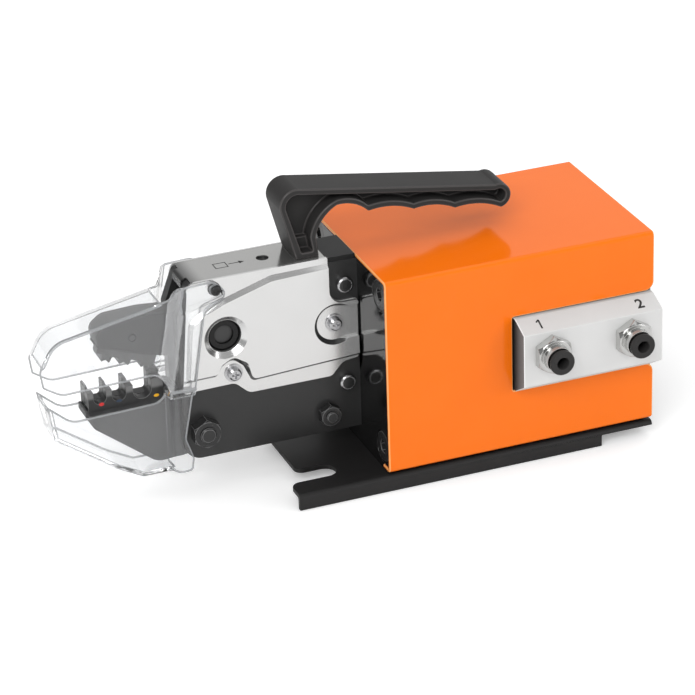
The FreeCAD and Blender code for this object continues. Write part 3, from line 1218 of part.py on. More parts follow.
def guard_outline():
    """Corners of the guard's side view."""
    top, slope = 98.0, 0.191
    nose_x, rear_x = -150.6, -92.6
    return [(-157.4, 79.0, 5), (nose_x, top + slope * (nose_x + 120), 13),
            (rear_x, top + slope * (rear_x + 120), 2), (-88.2, 110.8, 5),
            (-72.0, 111.4, 6.5), (-66.4, 105.0, 4.5), (-67.2, 101.8, 2), (-77.5, 97.8, 3),
            (-83.8, 59.5, 1.5), (-85.2, 54.0, 1.0), (-89.6, 32.0, 5), (-86.0, 21.0, 4),
            (-87.0, 14.6, 2), (-97.0, 13.9, 0), (-110.5, 13.9, 3), (-124.0, 21.2, 40),
            (-152.5, 41.6, 2.5)]


def guard_plan(inset, narrow_x, wide_x, wide, lean):
    """Plan of the guard, narrow in front and wide behind, leaning back with height."""
    narrow, rear = GUARD_FRONT_HALF - inset, wide - inset
    front, back = -175.0, -50.0
    x0, x1 = narrow_x + inset * 0.6, wide_x + inset * 0.6
    corners = [(front, -narrow, 0), (x0, -narrow, 3), (x1, -rear, 3), (back, -rear, 0),
               (back, rear, 0), (x1, rear, 3), (x0, narrow, 3), (front, narrow, 0)]
    high = 125.0
    face = Part.Face(wire(corners, lambda q: Vector(q.x - 60 * lean, q.y, 0)))
    return face.extrude(Vector(high * lean, 0, high))


def guard_body(inset):
    """Filled body of the guard drawn in by an inset: cheeks, shoulders and lower shell."""
    ledge = GUARD_LEDGE + inset
    cheek, ear = GUARD_CHEEK_HALF - inset, GUARD_EAR_HALF - inset
    low, high = SHOULDER_LOW - inset * 0.4, SHOULDER_HIGH - inset * 0.4
    right = [(cheek, ledge, 0), (cheek, low, 0), (ear, high, 0), (ear, 130.0, 0)]
    left = [(-y, z, 0) for y, z, _ in reversed(right)]
    upper = guard_plan(inset, -100.3, -96.2, GUARD_CHEEK_HALF, GUARD_LEAN)
    upper = upper.common(section(right + left, -170, -50))
    lower = guard_plan(inset, -96.4, -93.5, GUARD_LOW_HALF, 0.0)
    return upper.fuse(lower.common(block(-170, -50, -30, 30, 0, ledge)))


def guard():
    """Clear moulded guard: visor, slotted side walls, lower shell and two wide cheeks."""
    t = GUARD_WALL
    rib = guard_plan(-GUARD_RIB_PROUD, -100.3, -96.2, GUARD_CHEEK_HALF, GUARD_LEAN)
    rib = rib.common(block(-99.4, -50, -30, 30, GUARD_LEDGE, GUARD_LEDGE + GUARD_RIB))
    outer = slab(guard_outline(), -20, 20).common(guard_body(0).fuse(rib))
    outline = wire(guard_outline(), lambda q: Vector(q.x, -20, q.y))
    inner_wire = outline.makeOffset2D(-t)
    inner = Part.Face(inner_wire).extrude(Vector(0, 40, 0))
    rear_room = slab([(-94.0, 12.3 + t, 0), (-50, 12.3 + t, 0), (-50, 125, 0), (-96.5, 125, 0),
                      (-96.5, 70, 0)], -20, 20)
    room = inner.fuse(rear_room).common(guard_body(t))
    shell = outer.cut(room)
    slot = slab([(-165.0, 76.0, 0), (-147.5, 64.4, 9), (-97.0, 65.8, 6.8), (-97.0, 51.5, 6.8),
                 (-143.5, 50.2, 10), (-165.0, 69.5, 0)], -20, 20)
    window = block(-165, -150, -GUARD_FRONT_HALF + t, GUARD_FRONT_HALF - t, 57.5, 80.0)
    pivots = cross_rod(GUARD_SCREW_DIAMETER / 2 + 0.1, GUARD_PIVOT, -30, 30)
    return cut_all(shell, [slot, window, pivots]).removeSplitter()


def guard_screws():
    """Two black shoulder screws on which the guard swings."""
    parts = []
    ear = GUARD_EAR_HALF + 0.2
    proud = GUARD_SCREW_PROUD
    for side in (-1, 1):
        shank = layer_rod(GUARD_SCREW_DIAMETER / 2, GUARD_PIVOT, side, GAP_HALF + 0.1, ear)
        head = layer_rod(GUARD_SCREW_HEAD / 2, GUARD_PIVOT, side, ear, ear + proud)
        rim = [e for e in head.Edges if abs(abs(e.CenterOfMass.y) - ear - proud) < 1e-3]
        head = head.makeChamfer(0.4, rim)
        x, z = GUARD_PIVOT
        y0, y1 = sorted((side * (ear + proud * 0.4), side * (ear + 3)))
        slot = block(x - 0.5, x + 0.5, y0, y1, z - 1.7, z + 1.7)
        slot = slot.fuse(block(x - 1.7, x + 1.7, y0, y1, z - 0.5, z + 0.5))
        washer = layer_rod(3.6, GUARD_PIVOT, side, SKIN_FACE + 0.02, GUARD_EAR_HALF - GUARD_WALL - 0.1)
        washer = washer.cut(layer_rod(GUARD_SCREW_DIAMETER / 2, GUARD_PIVOT, side, 0, 40))
        parts += [shank.fuse(head).fuse(washer).cut(slot)]
    return group(parts)


def pieces():
    """Return every sub-part by its name."""
    upper_spring, lower_spring = spring_seats()
    rear_across, front_across = 10.0, 13.0
    return {
        "base_plate": base_plate(),
        "base_screws": base_screws(),
        "cover_screws": cover_screws(),
        "front_plate": front_plate(),
        "tie_rods": tie_rods(),
        "spacer_sleeves": spacer_sleeves(),
        "cylinder_body": cylinder_body(),
        "cylinder_seal": cylinder_seal(),
        "rear_cap": rear_cap(),
        "rod_bush": rod_bush(),
        "rod_seal": rod_seal(),
        "piston": piston(),
        "piston_seal": piston_seal(),
        "piston_nut": piston_nut(),
        "piston_rod": piston_rod(),
        "ram_pin": ram_pin(),
        "wedge_ram": wedge_ram(),
        "outer_cover": outer_cover(),
        "inlet_block": manifold_block(),
        "inlet_fitting_1": fitting_body(PORTS[0]),
        "inlet_fitting_2": fitting_body(PORTS[1]),
        "release_collar_1": release_collar(PORTS[0]),
        "release_collar_2": release_collar(PORTS[1]),
        "tube_seals": tube_seals(),
        "side_plate_near": side_plate(-1),
        "side_plate_far": side_plate(1),
        "top_bar": top_bar(),
        "lower_block": lower_block(),
        "head_screws": head_screws(),
        "rear_rivets": rear_rivets(),
        "upper_jaw": upper_jaw(),
        "lower_jaw": lower_jaw(),
        "upper_die": upper_die(),
        "lower_die": lower_die(),
        "lower_die_screws": die_screws(),
        "upper_die_screws": upper_die_screws(),
        "upper_pivot_pin": upper_pivot_pin(),
        "upper_jaw_bush": jaw_bush(UPPER_PIVOT, PIVOT_PIN_DIAMETER),
        "lower_jaw_bush": jaw_bush(LOWER_PIVOT, LOWER_BOLT_DIAMETER),
        "lower_pivot_bolt": through_bolt(LOWER_PIVOT, LOWER_BOLT_DIAMETER, front_across, 5.3, 1.4),
        "lower_pivot_nut": hex_nut(LOWER_PIVOT, LOWER_BOLT_DIAMETER, front_across),
        "rear_frame_bolt": through_bolt(REAR_BOLT, REAR_BOLT_DIAMETER, rear_across, 4.0, 1.4),
        "rear_frame_nut": hex_nut(REAR_BOLT, REAR_BOLT_DIAMETER, rear_across),
        "upper_roller": roller(UPPER_ROLLER),
        "lower_roller": roller(LOWER_ROLLER),
        "upper_roller_pin": roller_pin(UPPER_ROLLER),
        "lower_roller_pin": roller_pin(LOWER_ROLLER),
        "upper_return_spring": coil_spring(SPRING_X, *upper_spring),
        "lower_return_spring": coil_spring(SPRING_X, *lower_spring),
        "side_cover_near": side_cover(-1),
        "side_cover_far": side_cover(1),
        "side_cover_screws": cover_fixings(),
        "top_strip": top_strip(),
        "handle": handle(),
        "handle_screws": handle_screws(),
        "guard": guard(),
        "guard_screws": guard_screws(),
    }


def main():
    """Build every sub-part, centre the whole on its outline and write the files."""
    parts = pieces()
    whole = Part.makeCompound(list(parts.values())).BoundBox
    shift = Vector(-(whole.XMin + whole.XMax) / 2, -(whole.YMin + whole.YMax) / 2, -whole.ZMin)
    os.makedirs("parts", exist_ok=True)
    for name, shape in parts.items():
        shape.translate(shift)
        shape.exportStep("parts/" + name + ".step")
    print("shift", round(shift.x, 3), round(shift.y, 3), round(shift.z, 3))
    print("size", round(whole.XLength, 1), round(whole.YLength, 1), round(whole.ZLength, 1))


main()
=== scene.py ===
"""Studio dressing of a pneumatic crimping machine.

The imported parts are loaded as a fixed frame. Each sub-assembly is a class that rounds the
edges of its parts, models their marks and gives every part its finish.
Lengths are metres in the row frame, unless their description says millimetres.
"""

import json
import logging
import math
from dataclasses import dataclass
from enum import Enum
from typing import Callable, Dict, List, Optional, Sequence, Tuple, Union

import bpy
from mathutils import Matrix, Vector
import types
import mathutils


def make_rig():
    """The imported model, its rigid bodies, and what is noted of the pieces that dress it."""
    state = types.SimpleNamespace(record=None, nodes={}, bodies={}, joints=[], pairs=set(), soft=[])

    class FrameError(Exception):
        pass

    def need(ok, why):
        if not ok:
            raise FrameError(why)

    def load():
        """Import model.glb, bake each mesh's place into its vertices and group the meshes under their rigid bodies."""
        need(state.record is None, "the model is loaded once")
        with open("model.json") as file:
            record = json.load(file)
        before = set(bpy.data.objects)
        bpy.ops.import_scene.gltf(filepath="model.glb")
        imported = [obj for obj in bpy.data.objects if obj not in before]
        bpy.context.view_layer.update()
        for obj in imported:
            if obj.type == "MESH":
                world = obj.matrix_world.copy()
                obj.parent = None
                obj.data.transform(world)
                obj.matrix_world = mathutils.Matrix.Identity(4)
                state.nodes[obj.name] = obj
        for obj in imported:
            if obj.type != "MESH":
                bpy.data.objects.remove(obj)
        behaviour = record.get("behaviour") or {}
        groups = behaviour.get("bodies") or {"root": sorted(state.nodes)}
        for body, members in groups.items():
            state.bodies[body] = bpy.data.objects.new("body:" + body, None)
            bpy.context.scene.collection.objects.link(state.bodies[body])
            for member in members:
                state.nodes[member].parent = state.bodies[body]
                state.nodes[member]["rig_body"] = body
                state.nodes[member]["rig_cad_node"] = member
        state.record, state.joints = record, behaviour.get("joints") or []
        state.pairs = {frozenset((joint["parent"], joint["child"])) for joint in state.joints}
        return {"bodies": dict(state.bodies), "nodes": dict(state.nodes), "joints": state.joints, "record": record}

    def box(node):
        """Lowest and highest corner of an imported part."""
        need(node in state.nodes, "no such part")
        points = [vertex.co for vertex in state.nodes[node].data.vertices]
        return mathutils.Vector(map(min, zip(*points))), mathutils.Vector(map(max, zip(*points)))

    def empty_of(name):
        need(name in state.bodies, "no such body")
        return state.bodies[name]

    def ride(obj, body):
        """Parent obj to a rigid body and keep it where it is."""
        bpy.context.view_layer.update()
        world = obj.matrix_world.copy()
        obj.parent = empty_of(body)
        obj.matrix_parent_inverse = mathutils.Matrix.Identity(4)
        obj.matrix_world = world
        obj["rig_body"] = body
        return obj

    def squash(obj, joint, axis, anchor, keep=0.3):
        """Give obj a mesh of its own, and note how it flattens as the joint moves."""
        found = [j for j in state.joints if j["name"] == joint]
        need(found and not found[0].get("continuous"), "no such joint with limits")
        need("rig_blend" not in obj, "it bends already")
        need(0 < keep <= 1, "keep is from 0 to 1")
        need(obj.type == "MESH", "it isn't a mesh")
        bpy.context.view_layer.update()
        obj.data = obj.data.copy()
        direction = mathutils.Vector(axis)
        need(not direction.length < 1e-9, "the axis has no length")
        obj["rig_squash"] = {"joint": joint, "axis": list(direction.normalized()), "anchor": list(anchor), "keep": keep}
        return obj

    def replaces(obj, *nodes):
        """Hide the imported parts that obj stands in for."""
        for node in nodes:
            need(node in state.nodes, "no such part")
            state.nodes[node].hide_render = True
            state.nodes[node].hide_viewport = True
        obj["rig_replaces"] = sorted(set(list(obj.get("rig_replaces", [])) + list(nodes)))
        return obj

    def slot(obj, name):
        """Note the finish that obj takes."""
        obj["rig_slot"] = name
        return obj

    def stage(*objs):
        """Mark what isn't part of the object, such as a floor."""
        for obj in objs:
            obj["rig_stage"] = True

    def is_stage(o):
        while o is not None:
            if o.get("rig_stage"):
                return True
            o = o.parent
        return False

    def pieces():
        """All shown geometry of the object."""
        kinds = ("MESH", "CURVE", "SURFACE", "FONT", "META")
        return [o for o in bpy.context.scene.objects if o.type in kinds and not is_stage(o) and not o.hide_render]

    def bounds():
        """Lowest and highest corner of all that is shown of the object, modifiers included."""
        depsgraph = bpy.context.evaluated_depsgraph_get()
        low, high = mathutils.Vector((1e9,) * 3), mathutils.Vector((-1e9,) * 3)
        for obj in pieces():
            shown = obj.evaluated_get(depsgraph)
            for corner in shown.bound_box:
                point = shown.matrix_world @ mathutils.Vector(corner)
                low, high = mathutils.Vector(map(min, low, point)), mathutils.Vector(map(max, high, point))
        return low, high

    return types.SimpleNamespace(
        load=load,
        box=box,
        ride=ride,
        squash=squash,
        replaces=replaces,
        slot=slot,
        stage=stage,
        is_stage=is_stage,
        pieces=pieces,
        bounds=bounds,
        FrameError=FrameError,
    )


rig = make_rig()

LOG = logging.getLogger("crimper")
Colour = Tuple[float, float, float]
Point = Tuple[float, float, float]
Range = Tuple[float, float]
SHIFT_X = 0.009019
SHIFT_Y = 0.0126
ACROSS = (math.pi / 2, 0.0, 0.0)
# Faces that meet at less than this many degrees become one face, or shade as one.
FLAT_ANGLE = 0.6
SMOOTH_ANGLE = 35.0
# Corners closer than this become one when a piece is settled.
WELD = 0.000002
# A corner counts as thrown off beyond this share of the rounding's width.
STRAY_SHARE = 0.45
LEAST_ROUGHNESS = 0.02
# How much of the lent colour bounced light sees.
LENT_SHARE = 0.85
# Scale and contrast of the clouds in the plain finishes and in the clear plastic.
PAINT_CLOUDS = (38.0, 1.6)
PLASTIC_CLOUDS = (60.0, 1.2)


def at(x: float, y: float, z: float) -> Vector:
    """Return a machine point in millimetres as a row-frame point in metres.

    Args:
        x: Along the machine, zero at the cover's front edge.
        y: Across the machine, zero in the centre plane.
        z: Height above the bench.

    Returns:
        The point in metres.
    """
    return Vector((x / 1000 + SHIFT_X, y / 1000 + SHIFT_Y, z / 1000))


def spot(face: bpy.types.MeshPolygon) -> Tuple[float, float]:
    """Return the place (x, z) of a face's middle on the machine, in millimetres."""
    return (face.center.x - SHIFT_X) * 1000, face.center.z * 1000


class Texture(Enum):
    """Surface textures that a finish may carry."""

    GRAIN = "grain"
    BRUSHED = "brushed"


@dataclass(frozen=True)
class Finish:
    """One finish of the machine.

    Attributes:
        slot: Material slot of the record.
        colour: Linear base colour.
        tint: Second colour that clouds into the first.
        roughness: Roughness of the surface.
        spread: How far the roughness wanders.
        metallic: 1 for bare metal.
        texture: Kind of fine relief.
        scale: Size of the relief, larger is finer.
        relief: Height of the relief in metres.
        specular: Level of the plain gloss.
        lent: Colour that the surface lends to its surroundings, where that differs.
        fade: Direction, and the two places in metres between which the colour turns into
            the tint.
    """

    slot: str
    colour: Colour
    tint: Colour
    roughness: float
    spread: float = 0.04
    metallic: float = 0.0
    texture: Texture = Texture.GRAIN
    scale: float = 900.0
    relief: float = 0.00002
    specular: float = 0.5
    lent: Optional[Colour] = None
    fade: Optional[Tuple[str, float, float]] = None


FINISHES: Tuple[Finish, ...] = (
    Finish("orange_paint", (1.0, 0.188, 0.006), (0.98, 0.178, 0.004), 0.12, 0.03,
           scale=520.0, relief=0.000002, specular=0.28, lent=(0.50, 0.46, 0.44)),
    Finish("black_paint", (0.012, 0.0115, 0.0115), (0.017, 0.016, 0.016), 0.44, 0.06,
           scale=1400.0, relief=0.00002, specular=0.35),
    Finish("gloss_black", (0.006, 0.006, 0.006), (0.009, 0.009, 0.009), 0.09, 0.03,
           scale=420.0, relief=0.000004),
    Finish("black_plate", (0.020, 0.020, 0.020), (0.026, 0.026, 0.026), 0.32, 0.06,
           texture=Texture.BRUSHED, scale=700.0, relief=0.000005),
    Finish("cylinder_grey", (0.26, 0.26, 0.27), (0.22, 0.22, 0.23), 0.42, 0.05, 0.8),
    Finish("satin_block", (0.74, 0.74, 0.735), (0.70, 0.70, 0.695), 0.42, 0.06, 0.25,
           texture=Texture.BRUSHED, scale=900.0, relief=0.000006),
    Finish("nickel", (0.62, 0.62, 0.61), (0.54, 0.54, 0.53), 0.15, 0.04, 1.0, scale=1500.0,
           relief=0.000002),
    Finish("chrome", (0.79, 0.79, 0.785), (0.75, 0.75, 0.745), 0.19, 0.03, 0.88, scale=240.0,
           relief=0.000003),
    # The top strip turns from the light tint to the dark colour towards its front end: painted shade on its front roll.
    Finish("satin_strip", (0.13, 0.13, 0.13), (0.52, 0.52, 0.51), 0.15, 0.03, 0.9,
           texture=Texture.BRUSHED, scale=800.0, relief=0.000001,
           fade=("X", -0.0760, -0.0655)),
    Finish("jaw_steel", (0.066, 0.066, 0.067), (0.075, 0.075, 0.075), 0.50, 0.05, 0.2,
           scale=1200.0, relief=0.0000008),
    # The die turns from near black to grey between 57.2 and 59.2 mm in height: a painted highlight on the tips of its
    # posts.
    Finish("die_steel", (0.013, 0.013, 0.0135), (0.15, 0.15, 0.15), 0.36, 0.06,
           scale=1200.0, relief=0.000005, fade=("Z", 0.0572, 0.0592)),
    Finish("bright_steel", (0.60, 0.60, 0.61), (0.50, 0.50, 0.51), 0.24, 0.06, 1.0, scale=1500.0,
           relief=0.000008),
    Finish("black_steel", (0.020, 0.020, 0.020), (0.030, 0.030, 0.030), 0.26, 0.06, 0.2,
           scale=1300.0, relief=0.000004),
    Finish("dark_steel", (0.10, 0.10, 0.10), (0.14, 0.14, 0.14), 0.36, 0.06, 0.7, scale=1300.0,
           relief=0.00001),
    Finish("bronze", (0.50, 0.30, 0.11), (0.42, 0.24, 0.09), 0.38, 0.06, 1.0),
    Finish("seal_rubber", (0.02, 0.02, 0.02), (0.028, 0.028, 0.028), 0.55, 0.05),
    Finish("black_plastic", (0.036, 0.035, 0.0345), (0.042, 0.0405, 0.040), 0.42, 0.06,
           scale=2600.0, relief=0.00002, specular=0.07),
)

EXTRAS: Tuple[Finish, ...] = (
    Finish("red_dot", (0.62, 0.02, 0.02), (0.52, 0.02, 0.02), 0.35),
    Finish("blue_dot", (0.018, 0.035, 0.068), (0.016, 0.030, 0.060), 0.35),
    Finish("yellow_dot", (0.90, 0.46, 0.01), (0.80, 0.40, 0.01), 0.35),
    Finish("black_ink", (0.012, 0.012, 0.012), (0.02, 0.02, 0.02), 0.45),
    Finish("pin_face", (0.006, 0.006, 0.006), (0.009, 0.009, 0.009), 0.3, specular=0.3),
    Finish("pin_centre", (0.034, 0.034, 0.034), (0.042, 0.042, 0.042), 0.5),
    Finish("matte_black", (0.012, 0.012, 0.012), (0.017, 0.017, 0.017), 0.4, specular=0.22),
    # Near-white colour on the inlet block's rounded rims: a painted highlight.
    Finish("bright_edge", (0.95, 0.95, 0.95), (0.90, 0.90, 0.90), 0.3, metallic=0.2),
    # Lighter grey on the rounded rims of dark steel parts: partly wear, partly a painted highlight along the edges.
    Finish("worn_edge", (0.17, 0.17, 0.17), (0.10, 0.10, 0.10), 0.38, metallic=0.3),
    # Ends of the inlet block: black next to the cover, turning dark grey outward, much darker than the block: painted
    # shade.
    Finish("sawn_end", (0.008, 0.008, 0.008), (0.19, 0.185, 0.185), 0.5,
           texture=Texture.BRUSHED, fade=("Y", -0.0368, -0.0476)),
    # Lighter orange on the cover's rounded rims and folds: a painted highlight.
    Finish("orange_edge", (0.98, 0.44, 0.15), (0.97, 0.40, 0.12), 0.2,
           lent=(0.50, 0.46, 0.44)),
    # Lighter grey on the handle's rounded rims: a painted highlight.
    Finish("grip_edge", (0.062, 0.057, 0.056), (0.050, 0.046, 0.045), 0.3, specular=0.4),
    # Darker chrome on the side covers' down-facing fold slopes and the rear screw's recess: painted shade.
    Finish("pressed_fold", (0.17, 0.17, 0.17), (0.11, 0.11, 0.11), 0.22, metallic=0.8,
           relief=0.000003),
)


@dataclass(frozen=True)
class ClearFinish:
    """The clear moulded plastic of the guard.

    Attributes:
        slot: Material slot of the record.
        colours: The two colours that cloud into each other.
        roughness: Least and greatest roughness.
        ior: How strongly it bends light.
        skin: Roughness of its glossy skin.
        passed: Colour of the light that it lets through onto what lies behind.
    """

    slot: str = "clear_plastic"
    colours: Tuple[Colour, Colour] = ((0.955, 0.96, 0.965), (0.935, 0.942, 0.95))
    roughness: Range = (0.0, 0.01)
    ior: float = 1.24
    skin: float = 0.02
    passed: Colour = (0.93, 0.935, 0.94)


@dataclass(frozen=True)
class PaleFinish:
    """The clear plastic with colour painted on its rims and steps: grey painted shade on the rims, white painted
    highlight on the steps.

    Attributes:
        slot: Name of the finish.
        colour: Painted colour laid over what lies behind.
        alpha: How much it covers of what lies behind.
        dim: Level of the second colour beside the first.
        roughness: Least and greatest roughness.
    """

    slot: str
    colour: Colour
    alpha: float
    dim: float = 0.88
    roughness: Range = (0.12, 0.2)


PALES: Tuple[PaleFinish, ...] = (
    # Grey on the guard's rims is painted shade, and white on the cheeks' steps is a painted highlight.
    PaleFinish("clear_plastic_rim", (0.37, 0.38, 0.39), 0.76),
    PaleFinish("clear_plastic_step", (0.90, 0.91, 0.92), 0.24),
)


def fill(node: bpy.types.Node, values: Dict[Union[str, int], object]) -> None:
    """Set values of a node's input sockets, by name or number."""
    for key, value in values.items():
        node.inputs[key].default_value = value


def add_node(tree: bpy.types.NodeTree, kind: str,
             values: Optional[Dict[Union[str, int], object]] = None,
             **settings: object) -> bpy.types.Node:
    """Add a shader node.

    Args:
        tree: The tree that takes it.
        kind: Its kind, such as Mix or MapRange.
        values: Values of its input sockets, by name or number.
        settings: Its own settings, such as its operation.

    Returns:
        The node.
    """
    node = tree.nodes.new("ShaderNode" + kind)
    for key, value in settings.items():
        setattr(node, key, value)
    fill(node, values or {})
    return node


def either_ray(tree: bpy.types.NodeTree, first: str, second: str) -> bpy.types.NodeSocket:
    """Tell two kinds of ray from all others.

    Args:
        tree: The tree that takes the nodes.
        first: Name of the first kind's output.
        second: Name of the second kind's output.

    Returns:
        The socket that puts out 1 for either kind.
    """
    rays = add_node(tree, "LightPath")
    either = add_node(tree, "Math", operation="MAXIMUM")
    tree.links.new(rays.outputs[first], either.inputs[0])
    tree.links.new(rays.outputs[second], either.inputs[1])
    return either.outputs[0]


class EffectGroups:
    """Shader node groups shared by the finishes."""

    def __init__(self) -> None:
        """Build the groups once."""
        self.clouds = self._clouds()
        self.grain = self._relief("fine_grain", 2.0)
        self.brushed = self._relief("brushed_lines", 3.0, (0.04, 1.0, 1.0))

    @staticmethod
    def _group(name: str, inputs: Dict[str, float],
               output: str) -> Tuple[bpy.types.NodeTree, bpy.types.Node, bpy.types.NodeSocket]:
        """Start a group with float sockets.

        Args:
            name: Name of the group.
            inputs: Default values of its inputs.
            output: Name of its output.

        Returns:
            The group, the node that gives its inputs and the socket that takes its output.
        """
        tree = bpy.data.node_groups.new(name, "ShaderNodeTree")
        for label, value in inputs.items():
            socket = tree.interface.new_socket(label, in_out="INPUT", socket_type="NodeSocketFloat")
            socket.default_value = value
        tree.interface.new_socket(output, in_out="OUTPUT", socket_type="NodeSocketFloat")
        source, sink = tree.nodes.new("NodeGroupInput"), tree.nodes.new("NodeGroupOutput")
        return tree, source, sink.inputs[output]

    @staticmethod
    def _noise(tree: bpy.types.NodeTree, source: bpy.types.Node, values: Dict[str, float],
               stretch: Optional[Point] = None) -> bpy.types.NodeSocket:
        """Lay noise over a piece's own coordinates.

        Args:
            tree: The group.
            source: The node that gives the group's scale.
            values: Values of the noise.
            stretch: Scale along each axis, where the noise is drawn out.

        Returns:
            The socket that puts the noise out.
        """
        place = add_node(tree, "TexCoord").outputs["Object"]
        noise = add_node(tree, "TexNoise", values)
        if stretch is not None:
            drawn = add_node(tree, "Mapping", {"Scale": stretch})
            tree.links.new(place, drawn.inputs["Vector"])
            place = drawn.outputs["Vector"]
        tree.links.new(place, noise.inputs["Vector"])
        tree.links.new(source.outputs["Scale"], noise.inputs["Scale"])
        return noise.outputs["Fac"]

    def _clouds(self) -> bpy.types.NodeTree:
        """Build soft clouding for tone and roughness.

        Returns:
            The group, which puts out a mask from 0 to 1.
        """
        tree, source, mask = self._group("handled_clouds", {"Scale": 30.0, "Contrast": 1.0},
                                         "Mask")
        noise = self._noise(tree, source, {"Detail": 3.0, "Roughness": 0.55})
        centre = add_node(tree, "Math", {1: 0.5}, operation="SUBTRACT")
        gain = add_node(tree, "Math", operation="MULTIPLY")
        back = add_node(tree, "Math", {1: 0.5}, operation="ADD", use_clamp=True)
        link = tree.links.new
        link(noise, centre.inputs[0])
        link(centre.outputs[0], gain.inputs[0])
        link(source.outputs["Contrast"], gain.inputs[1])
        link(gain.outputs[0], back.inputs[0])
        link(back.outputs[0], mask)
        return tree

    def _relief(self, name: str, detail: float,
                stretch: Optional[Point] = None) -> bpy.types.NodeTree:
        """Build a fine relief, such as grain, or lines along the machine.

        Args:
            name: Name of the group.
            detail: Detail of its noise.
            stretch: Scale along each axis, where it is drawn out to lines.

        Returns:
            The group, which puts out a height from 0 to 1.
        """
        tree, source, height = self._group(name, {"Scale": 900.0}, "Height")
        tree.links.new(self._noise(tree, source, {"Detail": detail}, stretch), height)
        return tree


